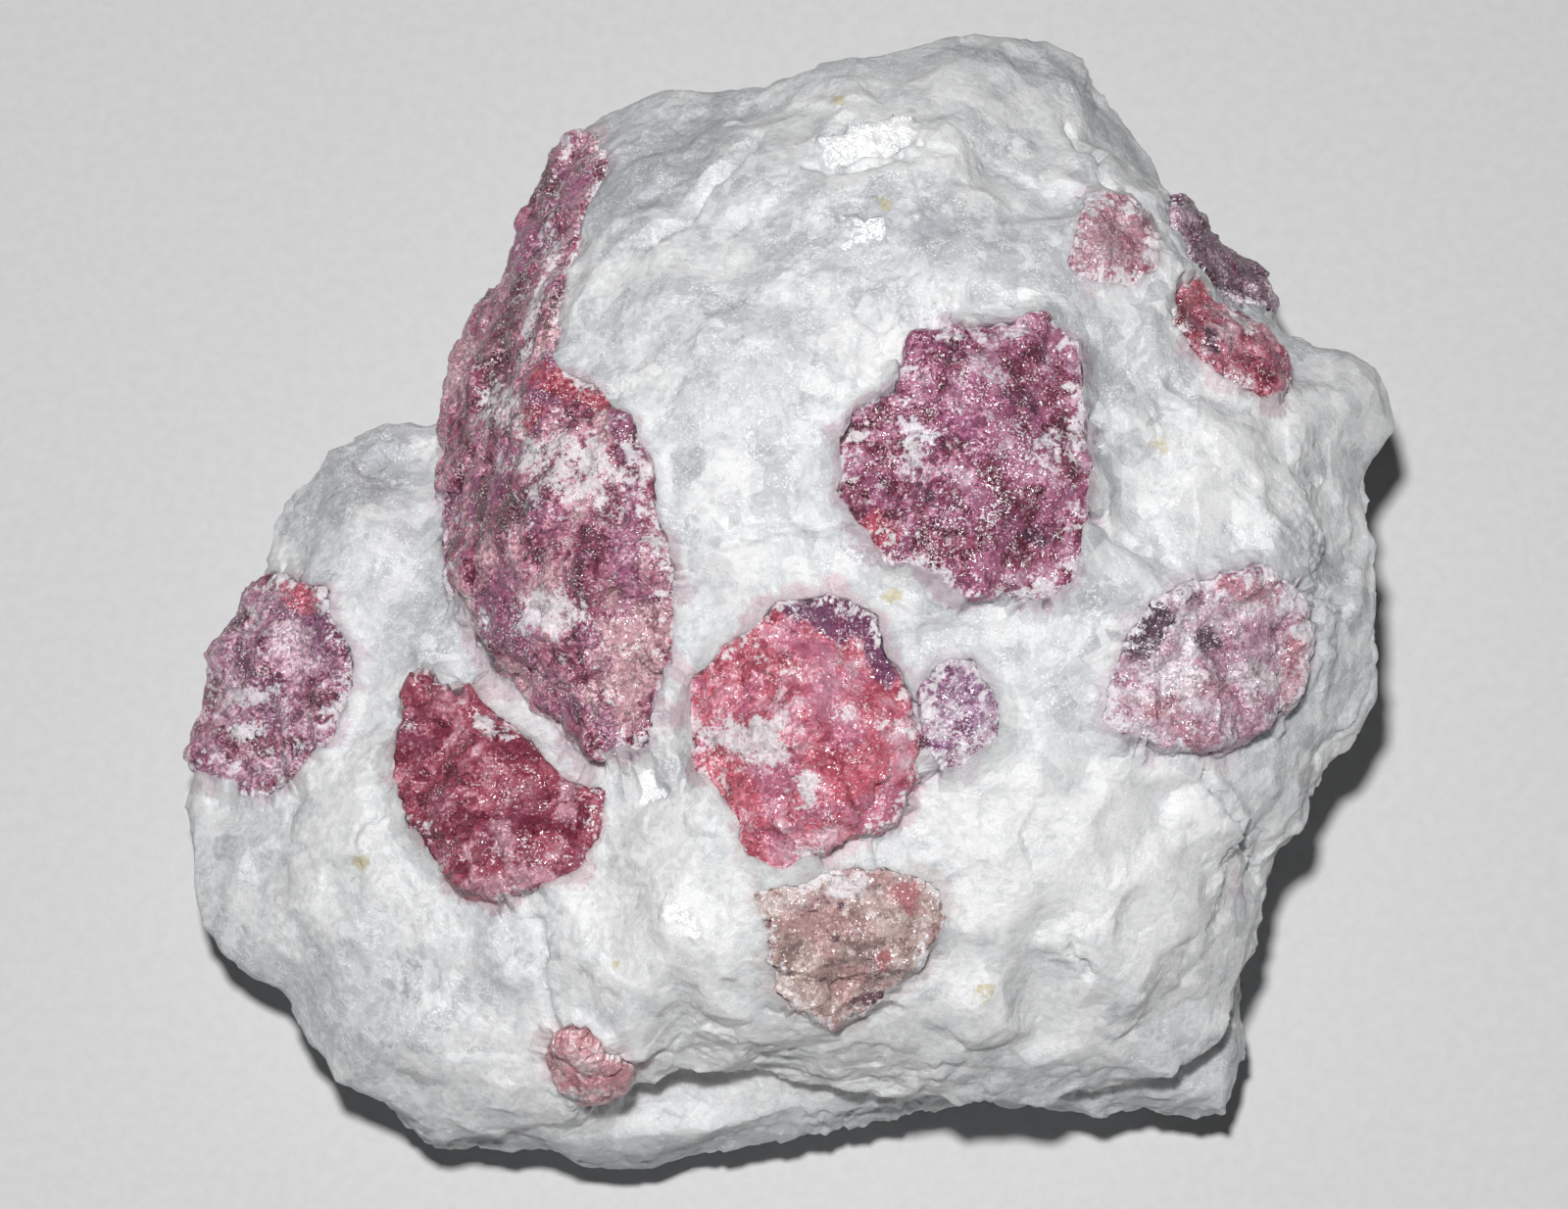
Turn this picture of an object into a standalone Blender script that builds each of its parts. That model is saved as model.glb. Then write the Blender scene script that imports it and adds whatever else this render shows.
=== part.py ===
"""Pink tourmaline crystals in a broken block of white feldspar.

The block is modelled as it came about: one solid mass, broken all round, which is then parted.
Each crystal is the share of the mass inside its own column, and the matrix is what is left,
with a hair gap around every crystal. All surfaces are rough breaks, and only the foot is flat.

Tables are in millimetres and the scene is in metres. +Z is up and the block rests on Z = 0,
+X is to the right and +Y is away from the viewer. The origin is under the middle of the block.
"""

from typing import NamedTuple

import bmesh
import bpy
from mathutils import Vector, noise
from mathutils.geometry import delaunay_2d_cdt, tessellate_polygon

MM = 0.001

# Driving dimensions, in millimetres.
CRYSTAL_GAP = 0.3            # air between a crystal and its pocket
COLUMN_TOP = 46.0            # above the highest point of the block
SHOULDER_RISE = 8.0          # a crystal keeps its outline down to here, then it narrows
END_TILT = 0.08              # a crystal's end slants by this for each millimetre it leans
FOOT_SINK = 1.5              # what the flat foot takes off the footing
BLOCK_GRAIN = 1.1            # spacing of the points that carry the break surface
SLAB_SWELL = 0.45            # what the rounding of that grain takes off the slab's rim
STEP_WIDTH = 0.35            # a step between two patches is this share of their width
SLAB_UNDERSIDE = 7.0         # the upper slab ends here, inside the footing
EDGE_DROP = 4.0              # height of the slab's broken edge
EDGE_INSET = 0.9             # how far that edge leans in
UNDERCUT = 3.6               # how far the slab overhangs the footing's top
FOOTING_TOP = 12.5
FOOT_INSET = 4.5             # the foot lies this far inside the footing's outline
MATRIX_TRIANGLES = 5300
CRYSTAL_STOCK_TRIANGLES = 9500

# The rim of the upper slab, clockwise from the back: x, y, z.
RIM = (
    (12, 37, 22), (17.2, 38.3, 20), (19.8, 37.5, 19), (21.2, 34.8, 18), (23.3, 32.4, 17),
    (23.8, 29.8, 17), (25.6, 27.3, 17), (29, 25, 15), (32, 22.5, 15), (34.5, 18, 16),
    (37.5, 17, 19), (40.5, 14.5, 20), (40.6, 11.3, 20), (38.7, 8, 21), (38.2, 2, 21),
    (37.9, -3.5, 21), (38.9, -6.3, 19), (37.1, -9.6, 18), (34.9, -12.9, 18), (32.5, -16.4, 18),
    (31.5, -19, 17), (31, -22.7, 17), (29.5, -26.8, 17), (28, -30.2, 17), (25, -32, 17),
    (16.5, -33, 16), (10, -33.7, 16), (6, -33.1, 16.5), (-1.5, -31.7, 17), (-6.5, -31.7, 18),
    (-10.5, -33.2, 17), (-16, -35, 15), (-21, -35, 14), (-24, -33.5, 14), (-29.5, -32, 13),
    (-31.5, -28.5, 12), (-33, -26.5, 12), (-36.5, -24, 12), (-39.2, -22.3, 12),
    (-40.2, -18.8, 12), (-40.3, -15, 12), (-40, -12, 12), (-39, -8.5, 12), (-38.5, -4.5, 12),
    (-37, -0.5, 13), (-35.8, 2.2, 13), (-36, 5.8, 13), (-34, 8.9, 13), (-31.5, 10.5, 13),
    (-27.5, 12.5, 13), (-23.5, 13.5, 14), (-22.5, 16, 14), (-21.5, 19.5, 14), (-18.5, 23, 14),
    (-17.5, 27, 15), (-15.5, 31.5, 16), (-13, 33.8, 17), (-10.5, 34.4, 18), (-7, 34.7, 19),
    (-3, 34.3, 20), (-0.5, 34.5, 21), (3.5, 36, 22), (7.5, 36.5, 23),
)

# Heights inside the rim: x, y, z, by what each group of points shapes.
RELIEF = {
    "break along the plateau's left and back": (
        (-0.5, 31, 27), (-5.5, 26.5, 29), (-8.5, 22.5, 30.5), (-10, 19, 31.5), (-13.5, 17.5, 31),
        (-15.5, 11.5, 31), (6, 32.5, 27.5), (13, 33.5, 26.5), (17, 29, 27.5), (20, 26.5, 28),
        (24, 24.5, 28), (26, 20, 28.5),
    ),
    "slope outside that break": (
        (-11, 28, 25), (-13.5, 25.5, 24), (-7, 30.5, 24), (17, 35.5, 23), (19, 33, 23),
        (21.5, 30, 22), (26.5, 25, 20), (28.5, 22, 20), (31, 19.5, 20), (35, 16, 21),
        (36.5, 12, 25), (37.5, 9.5, 23),
    ),
    "plateau": (
        (-6.5, 13.5, 35), (-1.5, 13, 36.5), (6, 15, 36.5), (3, 22.5, 33.5), (9.5, 23, 34),
        (6, 28, 31), (12.5, 29, 30.5), (12.5, 18.5, 35.5), (17.5, 19.5, 34), (-5.5, 5, 36),
        (3, 5, 37), (-6.5, -1.5, 35), (-1.5, -2.5, 36), (3, -3.5, 35), (-10, 9, 34),
    ),
    "flank crystal, its steep prism side and its dome": (
        (-12, 28, 24), (-14, 24, 26), (-14, 21, 27.5), (-16, 25, 20.5), (-17.5, 19.5, 22),
        (-19, 13.5, 23), (-13, 10, 32), (-15, 8.5, 32), (-17, 7.5, 30.5), (-12, 4.5, 34.5),
        (-9.5, 3, 34), (-15.5, 1.5, 33), (-19.5, 6, 26), (-21, 0.5, 26), (-13, -2.5, 35),
        (-7.5, -3.5, 33), (-15.5, -6, 31), (-18, -6.5, 27.5), (-11.5, -8.5, 32), (-13, -11.5, 29),
        (-9, -12, 31),
    ),
    "groove at the foot of the dome": (
        (-24, 7, 17), (-24, 2.5, 18), (-23, -1.5, 19.5), (-19.5, -7, 22), (-16.5, -9, 24.5),
    ),
    "left terrace": (
        (-30, 9, 15.5), (-28, 5.5, 18.5), (-31, 2.5, 18), (-26.5, -1, 19.5), (-29.5, -3, 19.5),
        (-26.5, -11.5, 21.5), (-32.5, -16.5, 18.5), (-36.5, -18, 16), (-26, -17.5, 22.5),
        (-29, -23.5, 20), (-34.5, -23, 16.5), (-30, -28.5, 17), (-22.5, -24.5, 22.5),
        (-24, -30.5, 20), (-19.5, -33, 19), (-17, -27.5, 23.5),
    ),
    "left rim crystal": (
        (-33, 0.5, 17), (-29, -6, 19), (-31, -10, 18.5), (-34, -13, 17), (-35, -3.5, 17),
        (-36.5, -8, 15.5),
    ),
    "raspberry crystal": (
        (-23.5, -7, 23), (-19.5, -12.5, 25.5), (-15.5, -15, 26), (-19.5, -18.5, 26),
        (-22.5, -18, 24), (-12.5, -17, 26.5), (-16.5, -21, 26),
    ),
    "groove between terrace and crown": (
        (-14.5, -12.5, 25.5), (-11.5, -14.5, 27.5), (-10.5, -19.5, 28.5), (-13, -22.5, 26.5),
        (-15, -25, 25), (-14.5, -29.5, 23.5),
    ),
    "front crown": (
        (-6.5, -20, 32), (-7, -25, 31.5), (-3, -25.5, 31), (3, -22.5, 31.5), (9, -26.5, 29.5),
        (15.5, -22.5, 31), (21.5, -19, 30), (28, -19.5, 25), (25, -24, 26.5), (6, -28, 29),
        (8.5, -19, 32), (-7, -16, 31),
    ),
    "brow over the front ledge": (
        (-11.5, -31, 24.5), (-13, -33, 22), (-9.5, -31.7, 23), (-4, -30, 27), (-1.5, -31, 24.5),
        (3, -30, 27.5), (3.5, -32, 23.5), (10, -32.6, 21), (12.5, -30.5, 25.5), (16, -31.6, 21),
        (22, -29, 24), (24, -30.7, 20), (26.5, -26, 23),
    ),
    "watermelon crystal": (
        (-5.5, -9, 33), (-3, -6.5, 34.5), (3, -7, 35), (1, -13.5, 36.5), (6, -10.5, 35),
        (8, -14.5, 34), (-5.5, -14, 32.5), (3.5, -18, 34.5), (-0.5, -21.5, 32), (-7, -10, 31.5),
    ),
    "purple crystal": (
        (8, 11.5, 37), (17, 14, 36), (12, 8, 38.5), (15, 2.5, 38.5), (9.5, 2, 38), (4, 4.5, 37),
        (18.5, 6.5, 36), (18.5, -2, 36), (12, -3, 37.5), (14.5, -4.5, 35), (7, -2.5, 36),
    ),
    "right shoulder": (
        (22, 14, 33.5), (23.5, 7, 33.5), (21.5, 1, 34), (28, 6.5, 32), (33.5, 8.5, 28.5),
        (37.3, 5, 24), (31.5, 0, 31), (36.8, -1.5, 24.5), (37, -6.5, 23), (33.5, -12, 23),
        (29.5, -15.5, 27.5), (21.5, -15, 31), (15, -16.5, 33), (15.5, -10.5, 34),
        (12, -7.5, 34.5),
    ),
    "speckled and right rim crystals": (
        (21, 24, 31.5), (24, 20.5, 31), (21.5, 17, 33), (25.5, 17, 31), (27, 17.5, 28),
        (29, 17, 26.5), (32.5, 15, 25.5), (33.5, 12, 26.5), (30.5, 10.5, 29.5), (27, 13, 31),
    ),
    "pale crystal, a little hollow": (
        (21, -6.5, 33.5), (24.5, -4, 34), (30.5, -2.5, 31), (33.5, -5, 28.5), (33, -9.5, 27),
        (27.5, -12.5, 30), (21.5, -11.5, 32), (26.5, -8, 31.2),
    ),
}

# The footing under the slab stands proud of it along the front: x, y, z, clockwise from the back.
FOOTING = (
    (10, 34.5, 8), (18, 34, 8), (22, 28, 8), (28, 22, 8), (33, 17, 9), (37, 10, 9), (36.5, 4, 9),
    (36.5, -6, 8), (33, -14, 8), (31, -22, 9), (31, -25.5, 9), (31, -30, 9), (29.5, -31.5, 9),
    (29, -33.5, 9), (25, -34, 9), (20.5, -33.5, 9), (14, -33, 9), (5, -34, 8), (1, -35, 8),
    (-7, -36.5, 7), (-11, -37, 7), (-16, -36.5, 7), (-21.5, -36.5, 7), (-24.5, -35.5, 7),
    (-26, -33.5, 8), (-29, -28, 8), (-34, -22, 7), (-37, -14, 6), (-36, -5, 7), (-33, 3, 8),
    (-28, 9, 8), (-22, 11, 8), (-19, 18, 8), (-16, 25, 8), (-13, 30.5, 8), (-8, 32.5, 8),
    (0, 32.5, 8),
)


class Facets(NamedTuple):
    """One scale of the broken surface: flat patches, each tilted its own way."""

    cell: float              # width of a patch
    step: float              # how far whole patches stand above one another
    tilt: float              # how far a patch's far edge rises
    seed: float


class Crystal(NamedTuple):
    """A crystal by its outline on the surface, and how it goes down into the block."""

    name: str
    outline: tuple
    floor: float             # height at which it ends
    lean: tuple              # how far its end lies to the side
    taper: float             # width of its end over the width of its outline
    colour: tuple
    roughness: float


MATRIX_FACETS = (
    Facets(cell=8.0, step=0.5, tilt=0.8, seed=3.1),
    Facets(cell=3.8, step=0.4, tilt=0.6, seed=8.7),
)
CRYSTAL_FACETS = (
    Facets(cell=5.0, step=0.4, tilt=0.8, seed=15.3),
    Facets(cell=2.6, step=0.3, tilt=0.4, seed=21.9),
)
MATRIX_LIFT = 0.0
CRYSTAL_LIFT = 0.3           # crystals stand this far proud of the break

CRYSTALS = (
    Crystal(
        "tourmaline_flank",
        (
            (-13.5, 32.5), (-12, 28), (-14, 24), (-14, 21), (-15, 18.5), (-15.5, 12), (-13, 10),
            (-10.5, 7.5), (-9, 4), (-8.5, 0.5), (-7.5, -4), (-7.5, -7), (-8.5, -10),
            (-9.5, -13), (-12.5, -13), (-14.5, -10.5), (-17, -8.5), (-18.5, -6.5), (-20.5, -3.5),
            (-22, 0), (-23, 4), (-24, 9.5), (-25.5, 16), (-24.5, 21), (-21.5, 26), (-19.5, 31),
            (-17.5, 35),
        ),
        floor=12.0, lean=(1.5, 1.0), taper=0.8, colour=(0.33, 0.07, 0.12), roughness=0.45,
    ),
    Crystal(
        "tourmaline_left_rim",
        (
            (-33, 1), (-31, 0), (-30, -3), (-29, -5), (-29, -7), (-30.5, -10), (-33, -12.5),
            (-35, -13.5), (-37, -13), (-41, -11), (-42, -7.5), (-41, -3), (-39, 1), (-36, 2.5),
        ),
        floor=8.5, lean=(2.0, 0.5), taper=0.8, colour=(0.4, 0.15, 0.22), roughness=0.4,
    ),
    Crystal(
        "tourmaline_raspberry",
        (
            (-24, -6.5), (-22.5, -7.5), (-21.5, -8.5), (-21, -7), (-20, -9), (-17.5, -11.5),
            (-14.5, -14.5), (-12, -15.5), (-12, -16.5), (-12.5, -18.5), (-14, -20.5),
            (-16.5, -21.5), (-18.5, -21.7), (-21, -21), (-23, -19), (-24.5, -16.5), (-25.5, -13),
            (-25.5, -10), (-25, -7.5),
        ),
        floor=12.0, lean=(1.0, 2.0), taper=0.75, colour=(0.36, 0.06, 0.11), roughness=0.4,
    ),
    Crystal(
        "tourmaline_watermelon",
        (
            (-6, -9.5), (-4, -8), (-2, -6.5), (-0.5, -5), (3, -4.5), (5.5, -6), (6, -8.5),
            (7.5, -10.5), (8, -13.5), (8, -16), (6.5, -18.5), (4, -19.5), (2, -20.5),
            (-0.5, -21.5), (-2.5, -20), (-3.5, -17.5), (-5.5, -15), (-6, -12.5),
        ),
        floor=22.0, lean=(0.5, 1.5), taper=0.75, colour=(0.62, 0.16, 0.22), roughness=0.4,
    ),
    Crystal(
        "tourmaline_purple",
        (
            (8, 12), (11.5, 12.5), (14.5, 13), (16.5, 14), (18.5, 12), (18.5, 8.5), (19, 4),
            (18.5, 0), (18, -3.5), (16, -4.5), (11.5, -4.5), (9, -3), (6.5, -2.5), (5.5, -0.5),
            (3.5, 2), (3.5, 5), (4.5, 7), (7, 8),
        ),
        floor=25.0, lean=(-1.5, 1.0), taper=0.8, colour=(0.38, 0.1, 0.2), roughness=0.4,
    ),
    Crystal(
        "tourmaline_speckled",
        (
            (19.5, 23.5), (22, 24.5), (24, 23.5), (24.5, 21), (24, 18.5), (22, 17), (19.5, 17),
            (18, 18), (19, 21),
        ),
        floor=25.0, lean=(-0.5, -0.5), taper=0.7, colour=(0.6, 0.3, 0.35), roughness=0.5,
    ),
    Crystal(
        "tourmaline_right_rim",
        (
            (25.5, 17.5), (26.5, 18.5), (28, 18), (31, 16.5), (33, 13.5), (33, 12), (31.5, 10.5),
            (29, 11), (27, 12.5), (25, 15),
        ),
        floor=20.5, lean=(-1.5, -0.5), taper=0.75, colour=(0.46, 0.09, 0.14), roughness=0.35,
    ),
    Crystal(
        "tourmaline_back_slope",
        (
            (25.5, 24), (26.8, 21), (28, 20), (30.5, 19.8), (33.5, 20.5), (35, 24), (31, 28.5),
            (27, 31),
        ),
        floor=11.5, lean=(-1.0, -1.0), taper=0.8, colour=(0.22, 0.06, 0.12), roughness=0.4,
    ),
    Crystal(
        "tourmaline_pale",
        (
            (20.5, -9.5), (21.5, -7), (23, -5), (26.5, -3), (30.5, -2), (33, -3), (34, -6),
            (33, -9.5), (30.5, -11.5), (27.5, -13), (23.5, -13), (20.5, -12),
        ),
        floor=20.0, lean=(-1.5, 0.5), taper=0.75, colour=(0.62, 0.38, 0.46), roughness=0.4,
    ),
    Crystal(
        "tourmaline_violet",
        (
            (9.5, -9), (11.5, -8.5), (12.5, -10.5), (13, -13), (11.5, -15), (9.5, -15.5),
            (8.5, -13.5), (8.6, -10.5),
        ),
        floor=27.5, lean=(0.5, 0.5), taper=0.7, colour=(0.5, 0.35, 0.47), roughness=0.45,
    ),
    Crystal(
        "tourmaline_brown",
        (
            (-2, -23), (0.5, -22.6), (3, -21.6), (6, -21.5), (9, -22.5), (9.5, -24.5), (8, -27),
            (5.5, -29), (3, -30.5), (0.5, -29.5), (-1, -28.5), (-1, -26), (-1.5, -24.5),
        ),
        floor=19.0, lean=(0.5, 2.0), taper=0.75, colour=(0.5, 0.33, 0.32), roughness=0.4,
    ),
    Crystal(
        "tourmaline_salmon",
        (
            (-15, -31.5), (-13.5, -31), (-12, -32.3), (-10.5, -32.5), (-11, -34.3), (-13, -35.3),
            (-14.7, -34.6), (-15.2, -32.5),
        ),
        floor=15.5, lean=(0.3, 2.0), taper=0.75, colour=(0.66, 0.3, 0.31), roughness=0.4,
    ),
)

MATRIX_COLOUR = (0.8, 0.81, 0.82)
MATRIX_ROUGHNESS = 0.5


def clear_scene():
    """Removes every object that the scene starts with."""
    for obj in list(bpy.data.objects):
        bpy.data.objects.remove(obj)


def finish_material(name, colour, roughness):
    """A plain stone or crystal finish."""
    material = bpy.data.materials.new(name)
    material.use_nodes = True
    shader = material.node_tree.nodes["Principled BSDF"]
    shader.inputs["Base Color"].default_value = (*colour, 1.0)
    shader.inputs["Roughness"].default_value = roughness
    shader.inputs["Metallic"].default_value = 0.0
    return material


def add_object(name, bm):
    """Puts the bmesh in the scene as an object, with its faces pointing out."""
    bmesh.ops.recalc_face_normals(bm, faces=bm.faces)
    mesh = bpy.data.meshes.new(name)
    bm.to_mesh(mesh)
    bm.free()
    obj = bpy.data.objects.new(name, mesh)
    bpy.context.scene.collection.objects.link(obj)
    return obj


def settle(obj):
    """Replaces the object's mesh with what its modifiers make of it."""
    graph = bpy.context.evaluated_depsgraph_get()
    obj.data = bpy.data.meshes.new_from_object(obj.evaluated_get(graph))
    obj.modifiers.clear()
    return obj


def copy_of(obj, name):
    """A copy of the object with its own mesh."""
    made = obj.copy()
    made.data = obj.data.copy()
    made.name = name
    bpy.context.scene.collection.objects.link(made)
    return made


def boolean(obj, other, operation):
    """Cuts, joins or keeps the common share of two closed meshes."""
    modifier = obj.modifiers.new(operation.title(), "BOOLEAN")
    modifier.operation = operation
    modifier.object = other
    return settle(obj)


def outward_offset(ring, distance):
    """The ring's points moved out, so that each side moves out by the distance."""
    points = [Vector(point[:2]) for point in ring]
    count = len(points)
    area = sum(points[i].cross(points[(i + 1) % count]) for i in range(count))
    side = 1.0 if area > 0 else -1.0
    moved = []
    for i in range(count):
        before = (points[i] - points[i - 1]).normalized()
        after = (points[(i + 1) % count] - points[i]).normalized()
        along = (before + after).normalized()
        out = Vector((along.y, -along.x)) * side
        moved.append(points[i] + out * distance / max(0.6, along.dot(after)))
    return moved


def ring_at(bm, points, heights):
    """Vertices of a ring, each at its own height."""
    return [bm.verts.new(Vector((*p, z)) * MM) for p, z in zip(points, heights)]


def bridge(bm, upper, lower):
    """Joins two rings with as many points by a band of triangles."""
    count = len(upper)
    for i in range(count):
        following = (i + 1) % count
        bm.faces.new((upper[i], upper[following], lower[following]))
        bm.faces.new((upper[i], lower[following], lower[i]))


def cap(bm, ring, plan):
    """Closes a ring with triangles, laid out over its plan."""
    for triangle in tessellate_polygon([[Vector((*point, 0)) for point in plan]]):
        bm.faces.new([ring[i] for i in triangle])


def build_slab():
    """The upper slab: its surveyed top, its broken edge and an underside that is cut under."""
    bm = bmesh.new()
    rim = [(*p, z) for p, (_, _, z) in zip(outward_offset(RIM, SLAB_SWELL), RIM)]
    survey = rim + [point for group in RELIEF.values() for point in group]
    rim_count = len(RIM)
    rim_edges = [(i, (i + 1) % rim_count) for i in range(rim_count)]
    plan = [Vector(point[:2]) for point in survey]
    placed, _, triangles, *_ = delaunay_2d_cdt(plan, rim_edges, [], 1, 1e-4)
    if len(placed) != len(survey):
        raise ValueError("two surveyed points share one place in plan")
    top = [bm.verts.new(Vector(point) * MM) for point in survey]
    for triangle in triangles:
        bm.faces.new([top[i] for i in triangle])
    under_plan = outward_offset(RIM, -UNDERCUT)
    edge = ring_at(bm, outward_offset(RIM, -EDGE_INSET), [z - EDGE_DROP for _, _, z in RIM])
    under = ring_at(bm, under_plan, [SLAB_UNDERSIDE] * rim_count)
    bridge(bm, top[:rim_count], edge)
    bridge(bm, edge, under)
    cap(bm, under, under_plan)
    return add_object("slab", bm)


def build_footing():
    """The lower layer of the block, which carries the slab and narrows towards the foot."""
    bm = bmesh.new()
    count = len(FOOTING)
    top_plan = outward_offset(FOOTING, -EDGE_INSET)
    foot_plan = outward_offset(FOOTING, -FOOT_INSET)
    top = ring_at(bm, top_plan, [FOOTING_TOP] * count)
    brow = ring_at(bm, [point[:2] for point in FOOTING], [z for _, _, z in FOOTING])
    foot = ring_at(bm, foot_plan, [-FOOT_SINK] * count)
    cap(bm, top, top_plan)
    bridge(bm, top, brow)
    bridge(bm, brow, foot)
    cap(bm, foot, foot_plan)
    return add_object("footing", bm)


def build_mass():
    """Slab and footing as one solid, with points close enough to carry the break surface."""
    mass = boolean(build_slab(), build_footing(), "UNION")
    bpy.data.objects.remove(bpy.data.objects["footing"])
    remesh = mass.modifiers.new("Grain", "REMESH")
    remesh.mode = "VOXEL"
    remesh.voxel_size = BLOCK_GRAIN * MM
    return settle(mass)


def patch_height(place, centre, facets):
    """Height of one tilted patch above a place, from draws that belong to the patch."""
    draw = noise.cell_vector(centre * 53.0) - Vector.Fill(3, 0.5)
    slope = noise.cell_vector(centre * 71.0 + Vector.Fill(3, 9.0)) - Vector.Fill(3, 0.5)
    return 2.0 * (draw.x * facets.step + slope.dot(place - centre) * facets.tilt)


def facet_rise(point, facets):
    """How far the broken patch under a point stands proud, in millimetres."""
    place = point / facets.cell + Vector.Fill(3, facets.seed)
    distances, centres = noise.voronoi(place)
    nearest, second = (patch_height(place, centre, facets) for centre in centres[:2])
    inside = min(1.0, (distances[1] - distances[0]) / STEP_WIDTH)
    return (nearest + second + (nearest - second) * inside) / 2


def break_surface(mass, name, scales, lift, triangles):
    """A copy of the mass with its surface broken into flat patches and thinned to a count."""
    broken = copy_of(mass, name)
    for vertex in broken.data.vertices:
        place = vertex.co / MM
        rise = lift + sum(facet_rise(place, facets) for facets in scales)
        vertex.co = vertex.co + vertex.normal * (rise * MM)
    thin = broken.modifiers.new("Thin", "DECIMATE")
    thin.ratio = triangles / (2.0 * len(broken.data.polygons))
    thin.use_collapse_triangulate = True
    settle(broken)
    return cut_foot(broken)


def cut_foot(obj):
    """Takes off all below Z = 0 and closes the cut, which is the flat foot."""
    bm = bmesh.new()
    bm.from_mesh(obj.data)
    geometry = bm.verts[:] + bm.edges[:] + bm.faces[:]
    bmesh.ops.bisect_plane(
        bm, geom=geometry, dist=1e-6, plane_co=(0, 0, 0), plane_no=(0, 0, 1), clear_inner=True
    )
    open_edges = [edge for edge in bm.edges if edge.is_boundary]
    bmesh.ops.triangle_fill(bm, edges=open_edges, use_beauty=True, normal=(0, 0, -1))
    bmesh.ops.recalc_face_normals(bm, faces=bm.faces)
    bm.to_mesh(obj.data)
    bm.free()
    return obj


def build_column(crystal, clearance):
    """The closed column that a crystal fills, from its slanted end to above the block."""
    bm = bmesh.new()
    count = len(crystal.outline)
    outline = [Vector(point) for point in crystal.outline]
    middle = sum(outline, Vector((0, 0))) / count
    lean = Vector(crystal.lean)
    end = [middle + (point - middle) * crystal.taper + lean for point in outline]
    depths = [crystal.floor + END_TILT * (point - middle).dot(lean) for point in outline]
    wide = outward_offset(outline, clearance)
    top = ring_at(bm, wide, [COLUMN_TOP] * count)
    shoulder = ring_at(bm, wide, [crystal.floor + SHOULDER_RISE] * count)
    lower = ring_at(bm, outward_offset(end, clearance), [depth - clearance for depth in depths])
    cap(bm, top, outline)
    bridge(bm, top, shoulder)
    bridge(bm, shoulder, lower)
    cap(bm, lower, end)
    return add_object(crystal.name + "_column", bm)


def part_crystal(stock, matrix, crystal):
    """Takes one crystal out of the stock, and its pocket out of the matrix."""
    column = build_column(crystal, 0.0)
    made = boolean(copy_of(stock, crystal.name), column, "INTERSECT")
    pocket = build_column(crystal, CRYSTAL_GAP)
    boolean(matrix, pocket, "DIFFERENCE")
    bpy.data.objects.remove(column)
    bpy.data.objects.remove(pocket)
    made.data.materials.clear()
    made.data.materials.append(finish_material(crystal.name, crystal.colour, crystal.roughness))
    return made


def drop_chips(obj):
    """Keeps the largest body of a mesh, without the chips that a cut near an edge leaves."""
    bm = bmesh.new()
    bm.from_mesh(obj.data)
    unseen = set(bm.verts)
    bodies = []
    while unseen:
        body, front = set(), [unseen.pop()]
        while front:
            vertex = front.pop()
            body.add(vertex)
            around = {edge.other_vert(vertex) for edge in vertex.link_edges} & unseen
            unseen -= around
            front.extend(around)
        bodies.append(body)
    largest = max(bodies, key=len)
    chips = [vertex for vertex in bm.verts if vertex not in largest]
    bmesh.ops.delete(bm, geom=chips, context="VERTS")
    bm.to_mesh(obj.data)
    bm.free()


def centre_in_plan(parts):
    """Moves all parts alike, so that the origin lies under the middle of the whole."""
    corners = [vertex.co for part in parts for vertex in part.data.vertices]
    shift = Vector((0, 0, 0))
    for axis in (0, 1):
        values = [corner[axis] for corner in corners]
        shift[axis] = -(min(values) + max(values)) / 2
    for part in parts:
        part.data.transform(part.matrix_world.Translation(shift))


def main():
    """Builds the mass, parts it into matrix and crystals, and centres them."""
    clear_scene()
    mass = build_mass()
    matrix = break_surface(mass, "matrix", MATRIX_FACETS, MATRIX_LIFT, MATRIX_TRIANGLES)
    stock = break_surface(
        mass, "crystal_stock", CRYSTAL_FACETS, CRYSTAL_LIFT, CRYSTAL_STOCK_TRIANGLES
    )
    bpy.data.objects.remove(mass)
    crystals = [part_crystal(stock, matrix, crystal) for crystal in CRYSTALS]
    bpy.data.objects.remove(stock)
    matrix.data.materials.clear()
    matrix.data.materials.append(finish_material("matrix", MATRIX_COLOUR, MATRIX_ROUGHNESS))
    parts = [matrix, *crystals]
    for part in parts:
        drop_chips(part)
    centre_in_plan(parts)


main()
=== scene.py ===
"""Looks of a broken block of white feldspar that holds twelve pink and purple tourmaline crystals.

The block and each crystal start as their CAD node, are remeshed finely, and are broken anew at a
smaller scale: facets, split grains, flat cleavage faces and cracks. Their finishes are procedural.
Sizes and places are in millimetres in the block's own frame, unless a name says otherwise.
"""

import functools
import logging
import math
from collections.abc import Callable
from dataclasses import dataclass, field
from enum import Enum

import bpy
import numpy as np
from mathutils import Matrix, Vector, noise
from mathutils.bvhtree import BVHTree


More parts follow.
